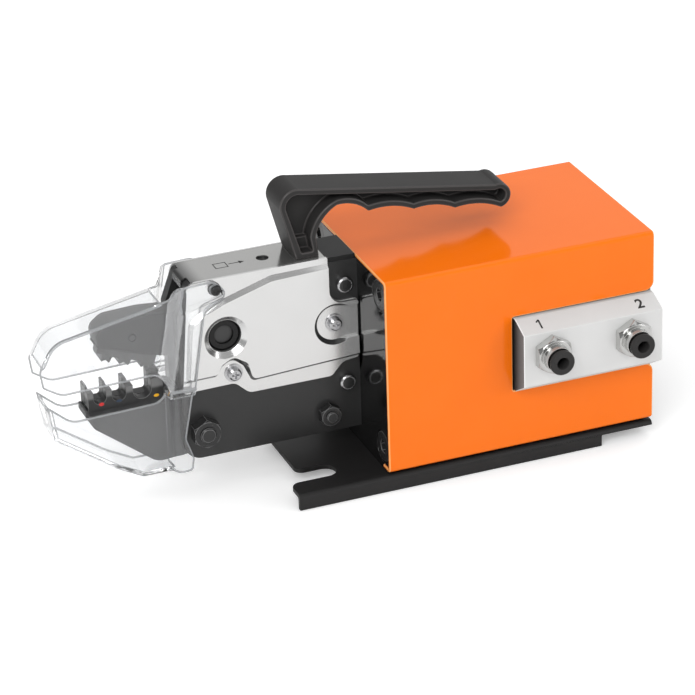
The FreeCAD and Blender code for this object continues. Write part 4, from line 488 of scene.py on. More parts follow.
class PaintShop:
    """Makes the materials and dresses pieces with them."""

    def __init__(self) -> None:
        """Build the shared groups and one material for each finish."""
        self.groups = EffectGroups()
        self.materials: Dict[str, bpy.types.Material] = {}
        for finish in FINISHES + EXTRAS:
            self.materials[finish.slot] = self._make(finish)
        clear = ClearFinish()
        self.materials[clear.slot] = self._clear(clear)
        for pale in PALES:
            self.materials[pale.slot] = self._pale(pale)

    def _start(self, name: str, colours: Tuple[Colour, Colour], rough: Range,
               clouds: Range) -> Tuple[bpy.types.Material, bpy.types.Node, bpy.types.Node]:
        """Start a material whose colour and roughness are clouded.

        Args:
            name: Name of the material.
            colours: The two colours that cloud into each other.
            rough: Least and greatest roughness.
            clouds: Scale and contrast of the clouds.

        Returns:
            The material, its shader and the node that blends its colours.
        """
        material = bpy.data.materials.new(name)
        material.use_nodes = True
        tree = material.node_tree
        shader = tree.nodes["Principled BSDF"]
        mask = add_node(tree, "Group", {"Scale": clouds[0], "Contrast": clouds[1]},
                        node_tree=self.groups.clouds)
        blend = add_node(tree, "Mix", {"A": (*colours[0], 1.0), "B": (*colours[1], 1.0)},
                         data_type="RGBA")
        spread = add_node(tree, "MapRange", {"To Min": rough[0], "To Max": rough[1]})
        link = tree.links.new
        link(mask.outputs["Mask"], blend.inputs["Factor"])
        link(mask.outputs["Mask"], spread.inputs["Value"])
        link(blend.outputs["Result"], shader.inputs["Base Color"])
        link(spread.outputs["Result"], shader.inputs["Roughness"])
        return material, shader, blend

    def _make(self, finish: Finish) -> bpy.types.Material:
        """Build a material with a fine relief.

        Args:
            finish: The finish to build.

        Returns:
            The material.
        """
        rough = (max(LEAST_ROUGHNESS, finish.roughness - finish.spread),
                 finish.roughness + finish.spread)
        material, shader, blend = self._start(finish.slot, (finish.colour, finish.tint), rough,
                                              PAINT_CLOUDS)
        fill(shader, {"Metallic": finish.metallic, "Specular IOR Level": finish.specular})
        tree = material.node_tree
        group = self.groups.brushed if finish.texture is Texture.BRUSHED else self.groups.grain
        relief = add_node(tree, "Group", {"Scale": finish.scale}, node_tree=group)
        bump = add_node(tree, "Bump", {"Distance": finish.relief, "Strength": 1.0})
        tree.links.new(relief.outputs["Height"], bump.inputs["Height"])
        tree.links.new(bump.outputs["Normal"], shader.inputs["Normal"])
        if finish.fade is not None:
            self._fade(tree, finish.fade, blend.inputs["Factor"])
        if finish.lent is not None:
            self._lend(tree, finish.lent, blend.outputs["Result"], shader.inputs["Base Color"])
        return material

    @staticmethod
    def _fade(tree: bpy.types.NodeTree, fade: Tuple[str, float, float],
              factor: bpy.types.NodeSocket) -> None:
        """Let a colour turn into another along one direction, in place of the clouds.

        Args:
            tree: The material's nodes.
            fade: Direction, and the two places in metres.
            factor: The socket that takes 0 at the first place and 1 at the second.
        """
        direction, start, end = fade
        place = add_node(tree, "TexCoord")
        parts = add_node(tree, "SeparateXYZ")
        ramp = add_node(tree, "MapRange", {"From Min": start, "From Max": end},
                        interpolation_type="SMOOTHSTEP")
        tree.links.new(place.outputs["Object"], parts.inputs["Vector"])
        tree.links.new(parts.outputs[direction], ramp.inputs["Value"])
        tree.links.new(ramp.outputs["Result"], factor)

    @staticmethod
    def _lend(tree: bpy.types.NodeTree, lent: Colour, own: bpy.types.NodeSocket,
              base: bpy.types.NodeSocket) -> None:
        """Let a surface lend its surroundings another colour than its own.

        Args:
            tree: The material's nodes.
            lent: The colour that it lends.
            own: The socket that puts out its own colour.
            base: The socket that takes the colour.
        """
        bounced = either_ray(tree, "Is Diffuse Ray", "Is Glossy Ray")
        share = add_node(tree, "Math", {1: LENT_SHARE}, operation="MULTIPLY")
        lend = add_node(tree, "Mix", {"B": (*lent, 1.0)}, data_type="RGBA")
        link = tree.links.new
        link(bounced, share.inputs[0])
        link(share.outputs[0], lend.inputs["Factor"])
        link(own, lend.inputs["A"])
        link(lend.outputs["Result"], base)

    def _clear(self, finish: ClearFinish) -> bpy.types.Material:
        """Build clear plastic that lets light through.

        Args:
            finish: The finish to build.

        Returns:
            The material.
        """
        material, shader, _ = self._start(finish.slot, finish.colours, finish.roughness,
                                          PLASTIC_CLOUDS)
        fill(shader, {"Metallic": 0.0, "Transmission Weight": 1.0, "IOR": finish.ior,
                      "Coat Weight": 1.0, "Coat Roughness": finish.skin})
        tree = material.node_tree
        rays = add_node(tree, "LightPath")
        through = add_node(tree, "BsdfTransparent", {"Color": (*finish.passed, 1.0)})
        mix = add_node(tree, "MixShader")
        link = tree.links.new
        link(rays.outputs["Is Shadow Ray"], mix.inputs["Fac"])
        link(shader.outputs["BSDF"], mix.inputs[1])
        link(through.outputs["BSDF"], mix.inputs[2])
        link(mix.outputs["Shader"], tree.nodes["Material Output"].inputs["Surface"])
        return material

    def _pale(self, finish: PaleFinish) -> bpy.types.Material:
        """Build clear plastic that scatters light.

        Args:
            finish: The finish to build.

        Returns:
            The material.
        """
        red, green, blue = (finish.dim * level for level in finish.colour)
        material, shader, _ = self._start(finish.slot, (finish.colour, (red, green, blue)),
                                          finish.roughness, PLASTIC_CLOUDS)
        fill(shader, {"Metallic": 0.0, "Transmission Weight": 0.0, "Alpha": finish.alpha})
        return material

    def dress(self, piece: bpy.types.Object, slot: str, rim: str = "") -> None:
        """Give a piece its finish.

        Args:
            piece: The piece.
            slot: Name of the finish.
            rim: Finish of its rounded rims, where that differs.
        """
        kept = [face.material_index for face in piece.data.polygons] if rim else []
        piece.data.materials.clear()
        piece.data.materials.append(self.materials[slot])
        if rim:
            piece.data.materials.append(self.materials[rim])
            piece.data.polygons.foreach_set("material_index", kept)


@dataclass(frozen=True)
class Rounding:
    """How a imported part's edges are rounded.

    Attributes:
        width: Width of the rounding.
        segments: Steps in the rounding.
        angle: Edges sharper than this, in degrees, are rounded.
        rim: Finish of the rounded edges, where that differs.
        merge: Corners closer than this become one first.
    """

    width: float
    segments: int = 2
    angle: float = 40.0
    rim: str = ""
    merge: float = 0.000004


class Bench:
    """Modelling by hand: selection, primitives and finished meshes."""

    @staticmethod
    def clear() -> None:
        """Leave edit mode and deselect everything."""
        if bpy.context.object is not None and bpy.context.object.mode != "OBJECT":
            bpy.ops.object.mode_set(mode="OBJECT")
        bpy.ops.object.select_all(action="DESELECT")

    @staticmethod
    def take(piece: bpy.types.Object) -> None:
        """Make a piece the only selected and active one."""
        Bench.clear()
        piece.select_set(True)
        bpy.context.view_layer.objects.active = piece

    @staticmethod
    def open_all(piece: bpy.types.Object) -> None:
        """Take a piece into edit mode with all of it selected."""
        Bench.take(piece)
        bpy.ops.object.mode_set(mode="EDIT")
        bpy.ops.mesh.select_all(action="SELECT")

    @staticmethod
    def apply(piece: bpy.types.Object) -> None:
        """Put a piece's place, turn and size into its mesh."""
        Bench.take(piece)
        bpy.ops.object.transform_apply(location=True, rotation=True, scale=True)

    @staticmethod
    def pick_faces(piece: bpy.types.Object, test: Callable[[Vector, Vector], bool]) -> None:
        """Select faces by their place and normal, and enter edit mode.

        Args:
            piece: The piece.
            test: Takes a face's centre and normal and says whether it is selected.
        """
        Bench.take(piece)
        mesh = piece.data
        mesh.vertices.foreach_set("select", [False] * len(mesh.vertices))
        mesh.edges.foreach_set("select", [False] * len(mesh.edges))
        for face in mesh.polygons:
            face.select = test(face.center, face.normal)
        bpy.ops.object.mode_set(mode="EDIT")
        bpy.ops.mesh.select_mode(type="FACE")

    @staticmethod
    def pick_edges(piece: bpy.types.Object, angle: float) -> None:
        """Select the sharp edges and enter edit mode.

        Args:
            piece: The piece.
            angle: Edges sharper than this, in degrees, are selected.
        """
        Bench.take(piece)
        mesh = piece.data
        beside: Dict[Tuple[int, int], List[Vector]] = {}
        for face in mesh.polygons:
            for key in face.edge_keys:
                beside.setdefault(key, []).append(face.normal.copy())
        limit = math.cos(math.radians(angle))
        mesh.vertices.foreach_set("select", [False] * len(mesh.vertices))
        mesh.polygons.foreach_set("select", [False] * len(mesh.polygons))
        for edge in mesh.edges:
            pair = beside.get((min(edge.vertices), max(edge.vertices)), [])
            edge.select = len(pair) == 2 and pair[0].dot(pair[1]) < limit
            for index in edge.vertices:
                end = mesh.vertices[index]
                end.select = end.select or edge.select
        bpy.context.tool_settings.mesh_select_mode = (False, True, False)
        bpy.ops.object.mode_set(mode="EDIT")

    @staticmethod
    def cylinder(name: str, radius: float, depth: float, centre: Vector,
                 sides: int) -> bpy.types.Object:
        """Add a cylinder that faces across the machine.

        Args:
            name: Name of the piece.
            radius: Its radius.
            depth: Its length.
            centre: Its middle.
            sides: Number of sides.

        Returns:
            The new piece.
        """
        Bench.clear()
        bpy.ops.mesh.primitive_cylinder_add(vertices=sides, radius=radius, depth=depth,
                                            location=centre, rotation=ACROSS)
        piece = bpy.context.object
        piece.name = name
        return piece

    @staticmethod
    def join(made: Sequence[bpy.types.Object]) -> bpy.types.Object:
        """Join pieces into the last one and apply its place.

        Args:
            made: The pieces.

        Returns:
            The joined piece.
        """
        for piece in made:
            piece.select_set(True)
        bpy.ops.object.join()
        joined = bpy.context.object
        Bench.apply(joined)
        return joined

    @staticmethod
    def settle(piece: bpy.types.Object, smooth: float = SMOOTH_ANGLE) -> bpy.types.Object:
        """Put a piece's place into its mesh, with its normals outward.

        Args:
            piece: The piece.
            smooth: Angle in degrees below which faces shade as one.

        Returns:
            The same piece.
        """
        Bench.apply(piece)
        Bench.open_all(piece)
        bpy.ops.mesh.remove_doubles(threshold=WELD)
        bpy.ops.mesh.normals_make_consistent(inside=False)
        bpy.ops.object.mode_set(mode="OBJECT")
        bpy.ops.object.shade_smooth_by_angle(angle=math.radians(smooth))
        Bench.clear()
        return piece

    @staticmethod
    def resize(piece: bpy.types.Object, factors: Point, centre: Vector) -> None:
        """Resize a piece's mesh about a point.

        Args:
            piece: The piece.
            factors: Factors along the three axes.
            centre: The point that stays.
        """
        Bench.open_all(piece)
        bpy.ops.transform.resize(value=factors, center_override=centre)
        bpy.ops.object.mode_set(mode="OBJECT")
        Bench.clear()

    @staticmethod
    def rein_in(piece: bpy.types.Object, source: bpy.types.Object, slack: float) -> None:
        """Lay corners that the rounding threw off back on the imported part.

        Args:
            piece: The rounded piece.
            source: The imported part.
            slack: Distance beyond which a corner counts as thrown off.
        """
        strays = []
        for vertex in piece.data.vertices:
            found, spot, _, _ = source.closest_point_on_mesh(vertex.co)
            if found and (vertex.co - spot).length > slack:
                strays.append(vertex.index)
        if not strays:
            return
        group = piece.vertex_groups.new(name="strays")
        group.add(strays, 1.0, "REPLACE")
        back = piece.modifiers.new("back_on_the_part", "SHRINKWRAP")
        back.target = source
        back.wrap_method = "NEAREST_SURFACEPOINT"
        back.vertex_group = group.name
        bpy.ops.object.modifier_apply(modifier=back.name)
        piece.vertex_groups.clear()

    @staticmethod
    def plain_copy(source: bpy.types.Object, name: str) -> bpy.types.Object:
        """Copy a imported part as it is.

        Args:
            source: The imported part.
            name: Name of the copy.

        Returns:
            The copy, with a mesh of its own.
        """
        piece = bpy.data.objects.new(name, source.data.copy())
        bpy.context.scene.collection.objects.link(piece)
        return piece

    @staticmethod
    def rounded(source: bpy.types.Object, name: str, rounding: Rounding) -> bpy.types.Object:
        """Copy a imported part, merge its triangles and round its edges.

        Args:
            source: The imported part.
            name: Name of the rounded piece.
            rounding: How its edges are rounded.

        Returns:
            The rounded piece.
        """
        piece = Bench.plain_copy(source, name)
        Bench.take(piece)
        if piece.data.has_custom_normals:
            bpy.ops.mesh.customdata_custom_splitnormals_clear()
        piece.data.materials.clear()
        piece.data.materials.append(None)
        if rounding.rim:
            piece.data.materials.append(None)
        Bench.open_all(piece)
        bpy.ops.mesh.remove_doubles(threshold=rounding.merge)
        bpy.ops.mesh.dissolve_limited(angle_limit=math.radians(FLAT_ANGLE))
        bpy.ops.object.mode_set(mode="OBJECT")
        Bench.pick_edges(piece, rounding.angle)
        bpy.ops.mesh.bevel(offset=rounding.width, segments=rounding.segments, affect="EDGES",
                           clamp_overlap=False, miter_outer="ARC",
                           material=1 if rounding.rim else -1)
        bpy.ops.object.mode_set(mode="OBJECT")
        Bench.rein_in(piece, source, rounding.width * STRAY_SHARE)
        bpy.ops.object.shade_smooth_by_angle(angle=math.radians(SMOOTH_ANGLE))
        weighted = piece.modifiers.new("flat_faces_stay_flat", "WEIGHTED_NORMAL")
        weighted.keep_sharp = True
        bpy.ops.object.modifier_apply(modifier=weighted.name)
        Bench.clear()
        return piece


@dataclass
class Assembly:
    """What every sub-assembly shares.

    Attributes:
        frame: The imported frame.
        shop: The paint shop.
    """

    frame: Dict
    shop: PaintShop

    def finish_nodes(self, slots: Dict[str, Sequence[str]]) -> None:
        """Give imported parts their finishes.

        Args:
            slots: Names of the parts for each finish.
        """
        for slot, names in slots.items():
            for name in names:
                self.shop.dress(self.frame["nodes"][name], slot)
                LOG.info("%s takes %s", name, slot)

    def stand_in(self, piece: bpy.types.Object, body: str, slot: str,
                 replaces: Sequence[str] = (), rim: str = "") -> bpy.types.Object:
        """Dress a modelled piece, tie it to its body and hide what it replaces.

        Args:
            piece: The piece.
            body: The body that carries it.
            slot: Its finish.
            replaces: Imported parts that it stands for.
            rim: Finish of its rounded rims, where that differs.

        Returns:
            The same piece.
        """
        self.shop.dress(piece, slot, rim)
        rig.ride(piece, body)
        known = {m["slot"] for m in self.frame["record"]["materials"]}
        if slot in known:
            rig.slot(piece, slot)
        if replaces:
            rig.replaces(piece, *replaces)
        LOG.info("%s stands on %s in %s", piece.name, body, slot)
        return piece

    def soften(self, node: str, slot: str, rounding: Rounding, body: str = "root",
               name: str = "") -> bpy.types.Object:
        """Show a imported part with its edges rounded.

        Args:
            node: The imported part.
            slot: Its finish.
            rounding: How its edges are rounded.
            body: The body that carries it.
            name: Name of the rounded piece, if it isn't made from the part's.

        Returns:
            The rounded piece.
        """
        source = self.frame["nodes"][node]
        piece = Bench.rounded(source, name or node + "_edged", rounding)
        self.shop.dress(source, slot)
        return self.stand_in(piece, body, slot, [node], rounding.rim)

    def refinish(self, piece: bpy.types.Object, slot: str,
                 test: Callable[[bpy.types.MeshPolygon], bool]) -> None:
        """Give some faces of a piece a further finish.

        Args:
            piece: The piece, already dressed.
            slot: The further finish.
            test: Says whether a face takes it.
        """
        added = len(piece.data.materials)
        piece.data.materials.append(self.shop.materials[slot])
        chosen = [added if test(face) else face.material_index for face in piece.data.polygons]
        piece.data.polygons.foreach_set("material_index", chosen)


@dataclass
class Housing(Assembly):
    """Base plate, cover and the plates of the air cylinder."""

    def build(self) -> None:
        """Round the sheet edges and dress the housing."""
        self.soften("outer_cover", "orange_paint", Rounding(0.0006, 3, rim="orange_edge"))
        self.soften("base_plate", "black_paint", Rounding(0.0004, 2))
        self.soften("front_plate", "gloss_black", Rounding(0.0004, 2))
        self.soften("tie_rods", "black_steel", Rounding(0.0003, 2, rim="worn_edge"))
        self.finish_nodes({
            "gloss_black": ["rear_cap"],
            "bright_steel": ["base_screws", "cover_screws", "spacer_sleeves", "piston_rod",
                             "piston_nut", "ram_pin", "wedge_ram"],
            "black_steel": ["head_screws"],
            "cylinder_grey": ["cylinder_body", "piston"],
            "bronze": ["rod_bush"],
            "seal_rubber": ["cylinder_seal", "rod_seal", "piston_seal"],
        })


@dataclass
class AirInlets(Assembly):
    """Inlet block with its two push-in fittings and their numbers.

    Attributes:
        number_x: Places of the numbers along the machine, in millimetres.
        slope_top: Cross place and height of the sloped face's upper edge, in millimetres.
        slope_low: Cross place and height of its lower edge, in millimetres.
        font_size: Size of the font of the numbers.
        weight: How much its strokes are thickened.
        print_half: Half the thickness of the print.
        print_lift: How far the print stands off the face.
        strokes: Bars of the figure 1: middle, width and length in millimetres, and turn.
        collar_fit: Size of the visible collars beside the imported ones.
        end_normal: Faces that look this much along the machine are sawn ends.
    """

    number_x: Tuple[float, float] = (75.4, 128.3)
    slope_top: Tuple[float, float] = (-50.35, 78.8)
    slope_low: Tuple[float, float] = (-60.75, 74.3)
    font_size: float = 0.008004
    weight: float = 0.00018
    print_half: float = 0.00003
    print_lift: float = 0.00002
    strokes: Tuple[Tuple[float, float, float, float, float], ...] = (
        (0.6, 0.0, 0.85, 5.6, 0.0), (-0.15, 2.1, 0.75, 2.1, -0.85))
    collar_fit: float = 0.95
    end_normal: float = 0.95

    def figure(self, text: str) -> bpy.types.Object:
        """Model a figure from the plain font, lying at the origin.

        Args:
            text: The figure.

        Returns:
            The figure as a thin mesh.
        """
        Bench.clear()
        bpy.ops.object.text_add()
        mark = bpy.context.object
        mark.data.body = text
        mark.data.size = self.font_size
        mark.data.align_x = "CENTER"
        mark.data.align_y = "CENTER"
        mark.data.extrude = self.print_half
        mark.data.offset = self.weight
        mark.data.resolution_u = 6
        Bench.take(mark)
        bpy.ops.object.convert(target="MESH")
        return mark

    def figure_one(self) -> bpy.types.Object:
        """Model the figure 1 as a stem with a flag, lying at the origin.

        Returns:
            The figure as a thin mesh.
        """
        Bench.clear()
        made = []
        for x, y, width, length, turn in self.strokes:
            bpy.ops.mesh.primitive_cube_add(size=1.0, location=(x / 1000, y / 1000, 0.0),
                                            rotation=(0.0, 0.0, turn))
            made.append(bpy.context.object)
            made[-1].scale = (width / 1000, length / 1000, 2 * self.print_half)
        return Bench.join(made)

    def number(self, text: str, x: float) -> bpy.types.Object:
        """Model a printed number on the sloped face of the block.

        Args:
            text: The number.
            x: Its middle along the machine, in millimetres.

        Returns:
            The number as a thin mesh.
        """
        mark = self.figure_one() if text == "1" else self.figure(text)
        mark.name = "inlet_number_" + text
        top, low = self.slope_top, self.slope_low
        rise = Vector((0.0, top[0] - low[0], top[1] - low[1])).normalized()
        right = Vector((1.0, 0.0, 0.0))
        out = right.cross(rise)
        place = Matrix((right, rise, out)).transposed().to_4x4()
        place.translation = (at(x, (top[0] + low[0]) / 2, (top[1] + low[1]) / 2)
                             + out * self.print_lift)
        mark.matrix_world = place
        return Bench.settle(mark)

    def build(self) -> None:
        """Model the numbers, round the block and fittings and dress the inlets."""
        block = self.soften("inlet_block", "satin_block", Rounding(0.0005, 3, rim="bright_edge"))
        # The block's ends take a painted shade.
        self.refinish(block, "sawn_end", lambda face: abs(face.normal.x) > self.end_normal)
        for k in ("1", "2"):
            self.soften("inlet_fitting_" + k, "nickel", Rounding(0.00025, 2))
            collar = self.soften("release_collar_" + k, "black_plastic", Rounding(0.0004, 3),
                                 "collar_" + k)
            low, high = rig.box("release_collar_" + k)
            Bench.resize(collar, (self.collar_fit, 1.0, self.collar_fit),
                         (Vector(low) + Vector(high)) / 2)
        self.finish_nodes({"seal_rubber": ["tube_seals"]})
        for k, x in enumerate(self.number_x, 1):
            self.stand_in(self.number(str(k), x), "root", "black_ink")


@dataclass(frozen=True)
class Disc:
    """A thin disc with a soft edge, on each side of the machine.

    Attributes:
        name: Its name, without the side.
        radius: Its radius.
        place: Its place (x, z), in millimetres.
        face: Distance of its outer face from the centre plane, in millimetres.
        edge: Width of the soft edge.
        body: The body that carries it.
        slot: Its finish.
    """

    name: str
    radius: float
    place: Tuple[float, float]
    face: float
    edge: float
    body: str
    slot: str


@dataclass
class Head(Assembly):
    """Side plates, pins, nuts and jaws.

    Attributes:
        discs: Centre of the pivot pin, plug of the upper jaw and dark cores of the rear rivets, which are painted shade
            at the bottom of each rivet's dish.
        disc_depth: Thickness of these discs, in millimetres.
        sides: Number of their sides.
        smooth: Angle in degrees below which their faces shade as one.
        coils: For each return spring its place along the machine and the height of its
            fixed end, in millimetres, and the share of its length that is left when the
            dies are closed.
    """

    discs: Tuple[Disc, ...] = (
        Disc("pin_centre", 0.0047, (-67.4, 81.1), 10.5, 0.0003, "root", "pin_centre"),
        Disc("jaw_plug", 0.0017, (-110.5, 86.0), 5.85, 0.0002, "upper_jaw", "jaw_steel"),
        # The rivet cores are black discs at the bottom of each rivet's dish: painted shade of the hollow.
        Disc("rivet_core_1", 0.0030, (-6.5, 95.9), 15.08, 0.0002, "root", "black_steel"),
        Disc("rivet_core_2", 0.0030, (-6.5, 44.3), 15.08, 0.0002, "root", "black_steel"),
    )
    disc_depth: float = 0.4
    sides: int = 40
    smooth: float = 50.0
    coils: Tuple[Tuple[str, float, float, float], ...] = (
        ("upper_return_spring", -50.0, 99.5, 0.66), ("lower_return_spring", -50.0, 23.6, 0.34))

    def disc(self, disc: Disc, tag: str, side: float) -> bpy.types.Object:
        """Model a disc on one side of the machine.

        Args:
            disc: What it is like.
            tag: End of its name.
            side: Minus 1 on the near side, 1 on the far side.

        Returns:
            The disc.
        """
        x, z = disc.place
        middle = at(x, side * (disc.face - self.disc_depth / 2), z)
        piece = Bench.cylinder(disc.name + tag, disc.radius, self.disc_depth / 1000, middle,
                               self.sides)
        Bench.apply(piece)
        face = at(x, side * disc.face, z).y
        Bench.pick_faces(piece, lambda c, n: abs(n.y) > 0.9 and abs(c.y - face) < 1e-5)
        bpy.ops.mesh.bevel(offset=disc.edge, segments=3, affect="EDGES")
        bpy.ops.object.mode_set(mode="OBJECT")
        return Bench.settle(piece, self.smooth)

    def build(self) -> None:
        """Round the jaws and nuts, model the dark centres and dress the head."""
        self.soften("top_bar", "matte_black", Rounding(0.0003, 2))
        self.soften("upper_jaw", "jaw_steel", Rounding(0.0004, 2), "upper_jaw")
        self.soften("lower_jaw", "jaw_steel", Rounding(0.0004, 2), "lower_jaw")
        self.soften("lower_die", "die_steel", Rounding(0.0002, 2, rim="worn_edge"), "lower_jaw")
        for node in ("lower_pivot_bolt", "rear_frame_bolt"):
            self.soften(node, "black_steel", Rounding(0.00018, 2, rim="worn_edge"))
        for node in ("lower_pivot_nut", "rear_frame_nut"):
            self.soften(node, "black_steel", Rounding(0.00015, 1, angle=24.0, rim="worn_edge",
                                                      merge=0.00003))
        self.soften("rear_rivets", "bright_steel", Rounding(0.0002, 2))
        self.finish_nodes({
            "black_plate": ["lower_block", "side_plate_near", "side_plate_far"],
            "bright_steel": ["upper_roller", "lower_roller", "upper_roller_pin",
                             "lower_roller_pin", "handle_screws", "upper_die_screws",
                             "lower_die_screws"],
            "pin_face": ["upper_pivot_pin"],
            "dark_steel": ["upper_die"],
            "bronze": ["upper_jaw_bush", "lower_jaw_bush"],
        })
        for node, x, z, keep in self.coils:
            source = self.frame["nodes"][node]
            coil = Bench.plain_copy(source, node.replace("spring", "coil"))
            self.shop.dress(source, "bright_steel")
            self.stand_in(coil, "root", "bright_steel", [node])
            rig.squash(coil, "ram_slide", axis=(0.0, 0.0, 1.0), anchor=tuple(at(x, 0.0, z)),
                      keep=keep)
        for tag, side in (("_near", -1.0), ("_far", 1.0)):
            for disc in self.discs:
                self.stand_in(self.disc(disc, tag, side), disc.body, disc.slot)


@dataclass
class DieMarks(Assembly):
    """Coloured dots that tell the nests of the lower die apart.

    Attributes:
        dots: Finish, place (x, z) in millimetres, width and height.
        face: Cross place of the middle of the dots, in millimetres.
        depth: Thickness of the dots.
        edge: Width of their domed edge.
        sides: Number of their sides.
        smooth: Angle in degrees below which their faces shade as one.
    """

    dots: Tuple[Tuple[str, float, float, float, float], ...] = (
        ("red_dot", -127.6, 54.6, 0.0026, 0.0018),
        ("blue_dot", -118.9, 54.6, 0.0030, 0.0014),
        ("yellow_dot", -100.5, 53.7, 0.0027, 0.0017),
    )
    face: float = -6.05
    depth: float = 0.00012
    edge: float = 0.0002
    sides: int = 32
    smooth: float = 60.0

    def dot(self, slot: str, x: float, z: float, width: float, height: float) -> bpy.types.Object:
        """Model one domed dot of enamel.

        Args:
            slot: Its finish.
            x: Place along the machine, in millimetres.
            z: Height above the bench, in millimetres.
            width: Its width.
            height: Its height.

        Returns:
            The dot.
        """
        piece = Bench.cylinder("die_" + slot, 0.5, self.depth, at(x, self.face, z),
                               self.sides)
        piece.scale = (width, height, 1.0)
        Bench.apply(piece)
        front = min(corner.co.y for corner in piece.data.vertices)
        Bench.pick_faces(piece, lambda c, n: n.y < -0.9 and c.y < front + 1e-6)
        bpy.ops.mesh.bevel(offset=self.edge, segments=3, affect="EDGES")
        bpy.ops.object.mode_set(mode="OBJECT")
        return Bench.settle(piece, self.smooth)

    def build(self) -> None:
        """Model the three dots."""
        for slot, x, z, width, height in self.dots:
            self.stand_in(self.dot(slot, x, z, width, height), "lower_jaw", slot)


@dataclass
class SideCovers(Assembly):
    """Bright pressed side covers with their screws and the top strip.

    Attributes:
        print_z: Height of the print on the top strip, in millimetres.
        bars: Bars of the printed frame and arrow: middle, length and width in millimetres.
        tip_x: Middle of the arrow's tip along the machine, in millimetres.
        tip_radius: Radius of the tip.
        print_depth: Thickness of the print.
        dish: Place (x, z) of the dish round the pivot pin, in millimetres.
        dish_reach: How far the dish reaches, in millimetres.
        recess: Where the recess of the rear screw lies: low x and z, then high x and z, in
            millimetres.
        slanted: Faces whose cross part of the normal lies between these are slanted.
        facing_down: Slanted faces whose normal's upward part is below this look down.
    """

    print_z: float = 111.41
    bars: Tuple[Tuple[float, float, float, float], ...] = (
        (-63.5, 2.6, 6.4, 0.45), (-63.5, -2.6, 6.4, 0.45), (-66.5, 0.0, 0.45, 5.6),
        (-60.5, 0.0, 0.45, 5.6), (-56.6, 0.0, 6.0, 0.55))
    tip_x: float = -53.4
    tip_radius: float = 0.0018
    print_depth: float = 0.00003
    dish: Tuple[float, float] = (-67.4, 81.1)
    dish_reach: float = 12.5
    recess: Tuple[float, float, float, float] = (-24.0, 63.0, -2.0, 91.0)
    slanted: Range = (0.05, 0.97)
    facing_down: float = -0.2

    def in_fold(self, face: bpy.types.MeshPolygon) -> bool:
        """Tell whether a face of a cover takes the painted shade of the pressed folds.

        Args:
            face: The face.

        Returns:
            True where it does.
        """
        x, z = spot(face)
        if not self.slanted[0] < abs(face.normal.y) < self.slanted[1]:
            return False
        if math.hypot(x - self.dish[0], z - self.dish[1]) < self.dish_reach:
            return False
        low_x, low_z, high_x, high_z = self.recess
        if low_x < x < high_x and low_z < z < high_z:
            return True
        return face.normal.z < self.facing_down

    def mark(self) -> bpy.types.Object:
        """Model the printed arrow with its frame on the top strip.

        Returns:
            The mark as a thin mesh.
        """
        Bench.clear()
        made = []
        for x, y, length, width in self.bars:
            bpy.ops.mesh.primitive_plane_add(size=1.0, location=at(x, y, self.print_z))
            made.append(bpy.context.object)
            made[-1].scale = (length / 1000, width / 1000, 1.0)
        bpy.ops.mesh.primitive_circle_add(vertices=3, radius=self.tip_radius, fill_type="NGON",
                                          location=at(self.tip_x, 0.0, self.print_z),
                                          rotation=(0.0, 0.0, -math.pi / 2))
        mark = Bench.join(made + [bpy.context.object])
        mark.name = "strip_mark"
        Bench.open_all(mark)
        bpy.ops.mesh.extrude_region_move(
            TRANSFORM_OT_translate={"value": (0.0, 0.0, self.print_depth)})
        bpy.ops.object.mode_set(mode="OBJECT")
        return Bench.settle(mark)

    def build(self) -> None:
        """Dress the covers and the strip, and model its mark."""
        self.soften("top_strip", "satin_strip", Rounding(0.0002, 2))
        self.finish_nodes({"bright_steel": ["side_cover_screws"]})
        for side in ("near", "far"):
            node = "side_cover_" + side
            source = self.frame["nodes"][node]
            cover = Bench.plain_copy(source, "pressed_cover_" + side)
            self.shop.dress(source, "chrome")
            self.stand_in(cover, "root", "chrome", [node])
            # Down-facing fold slopes and the rear recess take a painted shade.
            self.refinish(cover, "pressed_fold", self.in_fold)
        self.stand_in(self.mark(), "root", "black_ink")


@dataclass
class Grip(Assembly):
    """Moulded handle."""

    def build(self) -> None:
        """Round the handle's edges and dress it."""
        self.soften("handle", "black_plastic", Rounding(0.0007, 3, rim="grip_edge"),
                    name="moulded_handle")


@dataclass
class ClearGuard(Assembly):
    """Clear guard that swings on two black screws.

    Attributes:
        ledge: Height where the cheeks end and the lower shell begins, in millimetres.
        step: Where the steps lie along the machine, in millimetres.
        slanted: Faces that look both along and across by more than this are slanted.
        screw: Place (x, z) of its screws, in millimetres.
        screw_fit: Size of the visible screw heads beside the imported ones.
    """

    ledge: float = 55.5
    step: Tuple[float, float] = (-101.0, -86.0)
    slanted: float = 0.3
    screw: Tuple[float, float] = (-71.6, 106.6)
    screw_fit: float = 0.87

    def on_step(self, face: bpy.types.MeshPolygon) -> bool:
        """Tell whether a face of the guard lies on the step of a cheek.

        Args:
            face: The face.

        Returns:
            True where it does.
        """
        x, z = spot(face)
        slanted = min(abs(face.normal.x), abs(face.normal.y)) > self.slanted
        return slanted and self.step[0] < x < self.step[1] and z > self.ledge

    def build(self) -> None:
        """Round the guard's edges and dress it."""
        piece = self.soften("guard", "clear_plastic",
                            Rounding(0.0007, 2, rim="clear_plastic_rim"),
                            "guard", "moulded_guard")
        # The cheeks' step faces take a white painted highlight.
        self.refinish(piece, "clear_plastic_step", self.on_step)
        screws = self.soften("guard_screws", "black_steel", Rounding(0.0002, 2))
        Bench.resize(screws, (self.screw_fit, 1.0, self.screw_fit),
                     at(self.screw[0], 0.0, self.screw[1]))


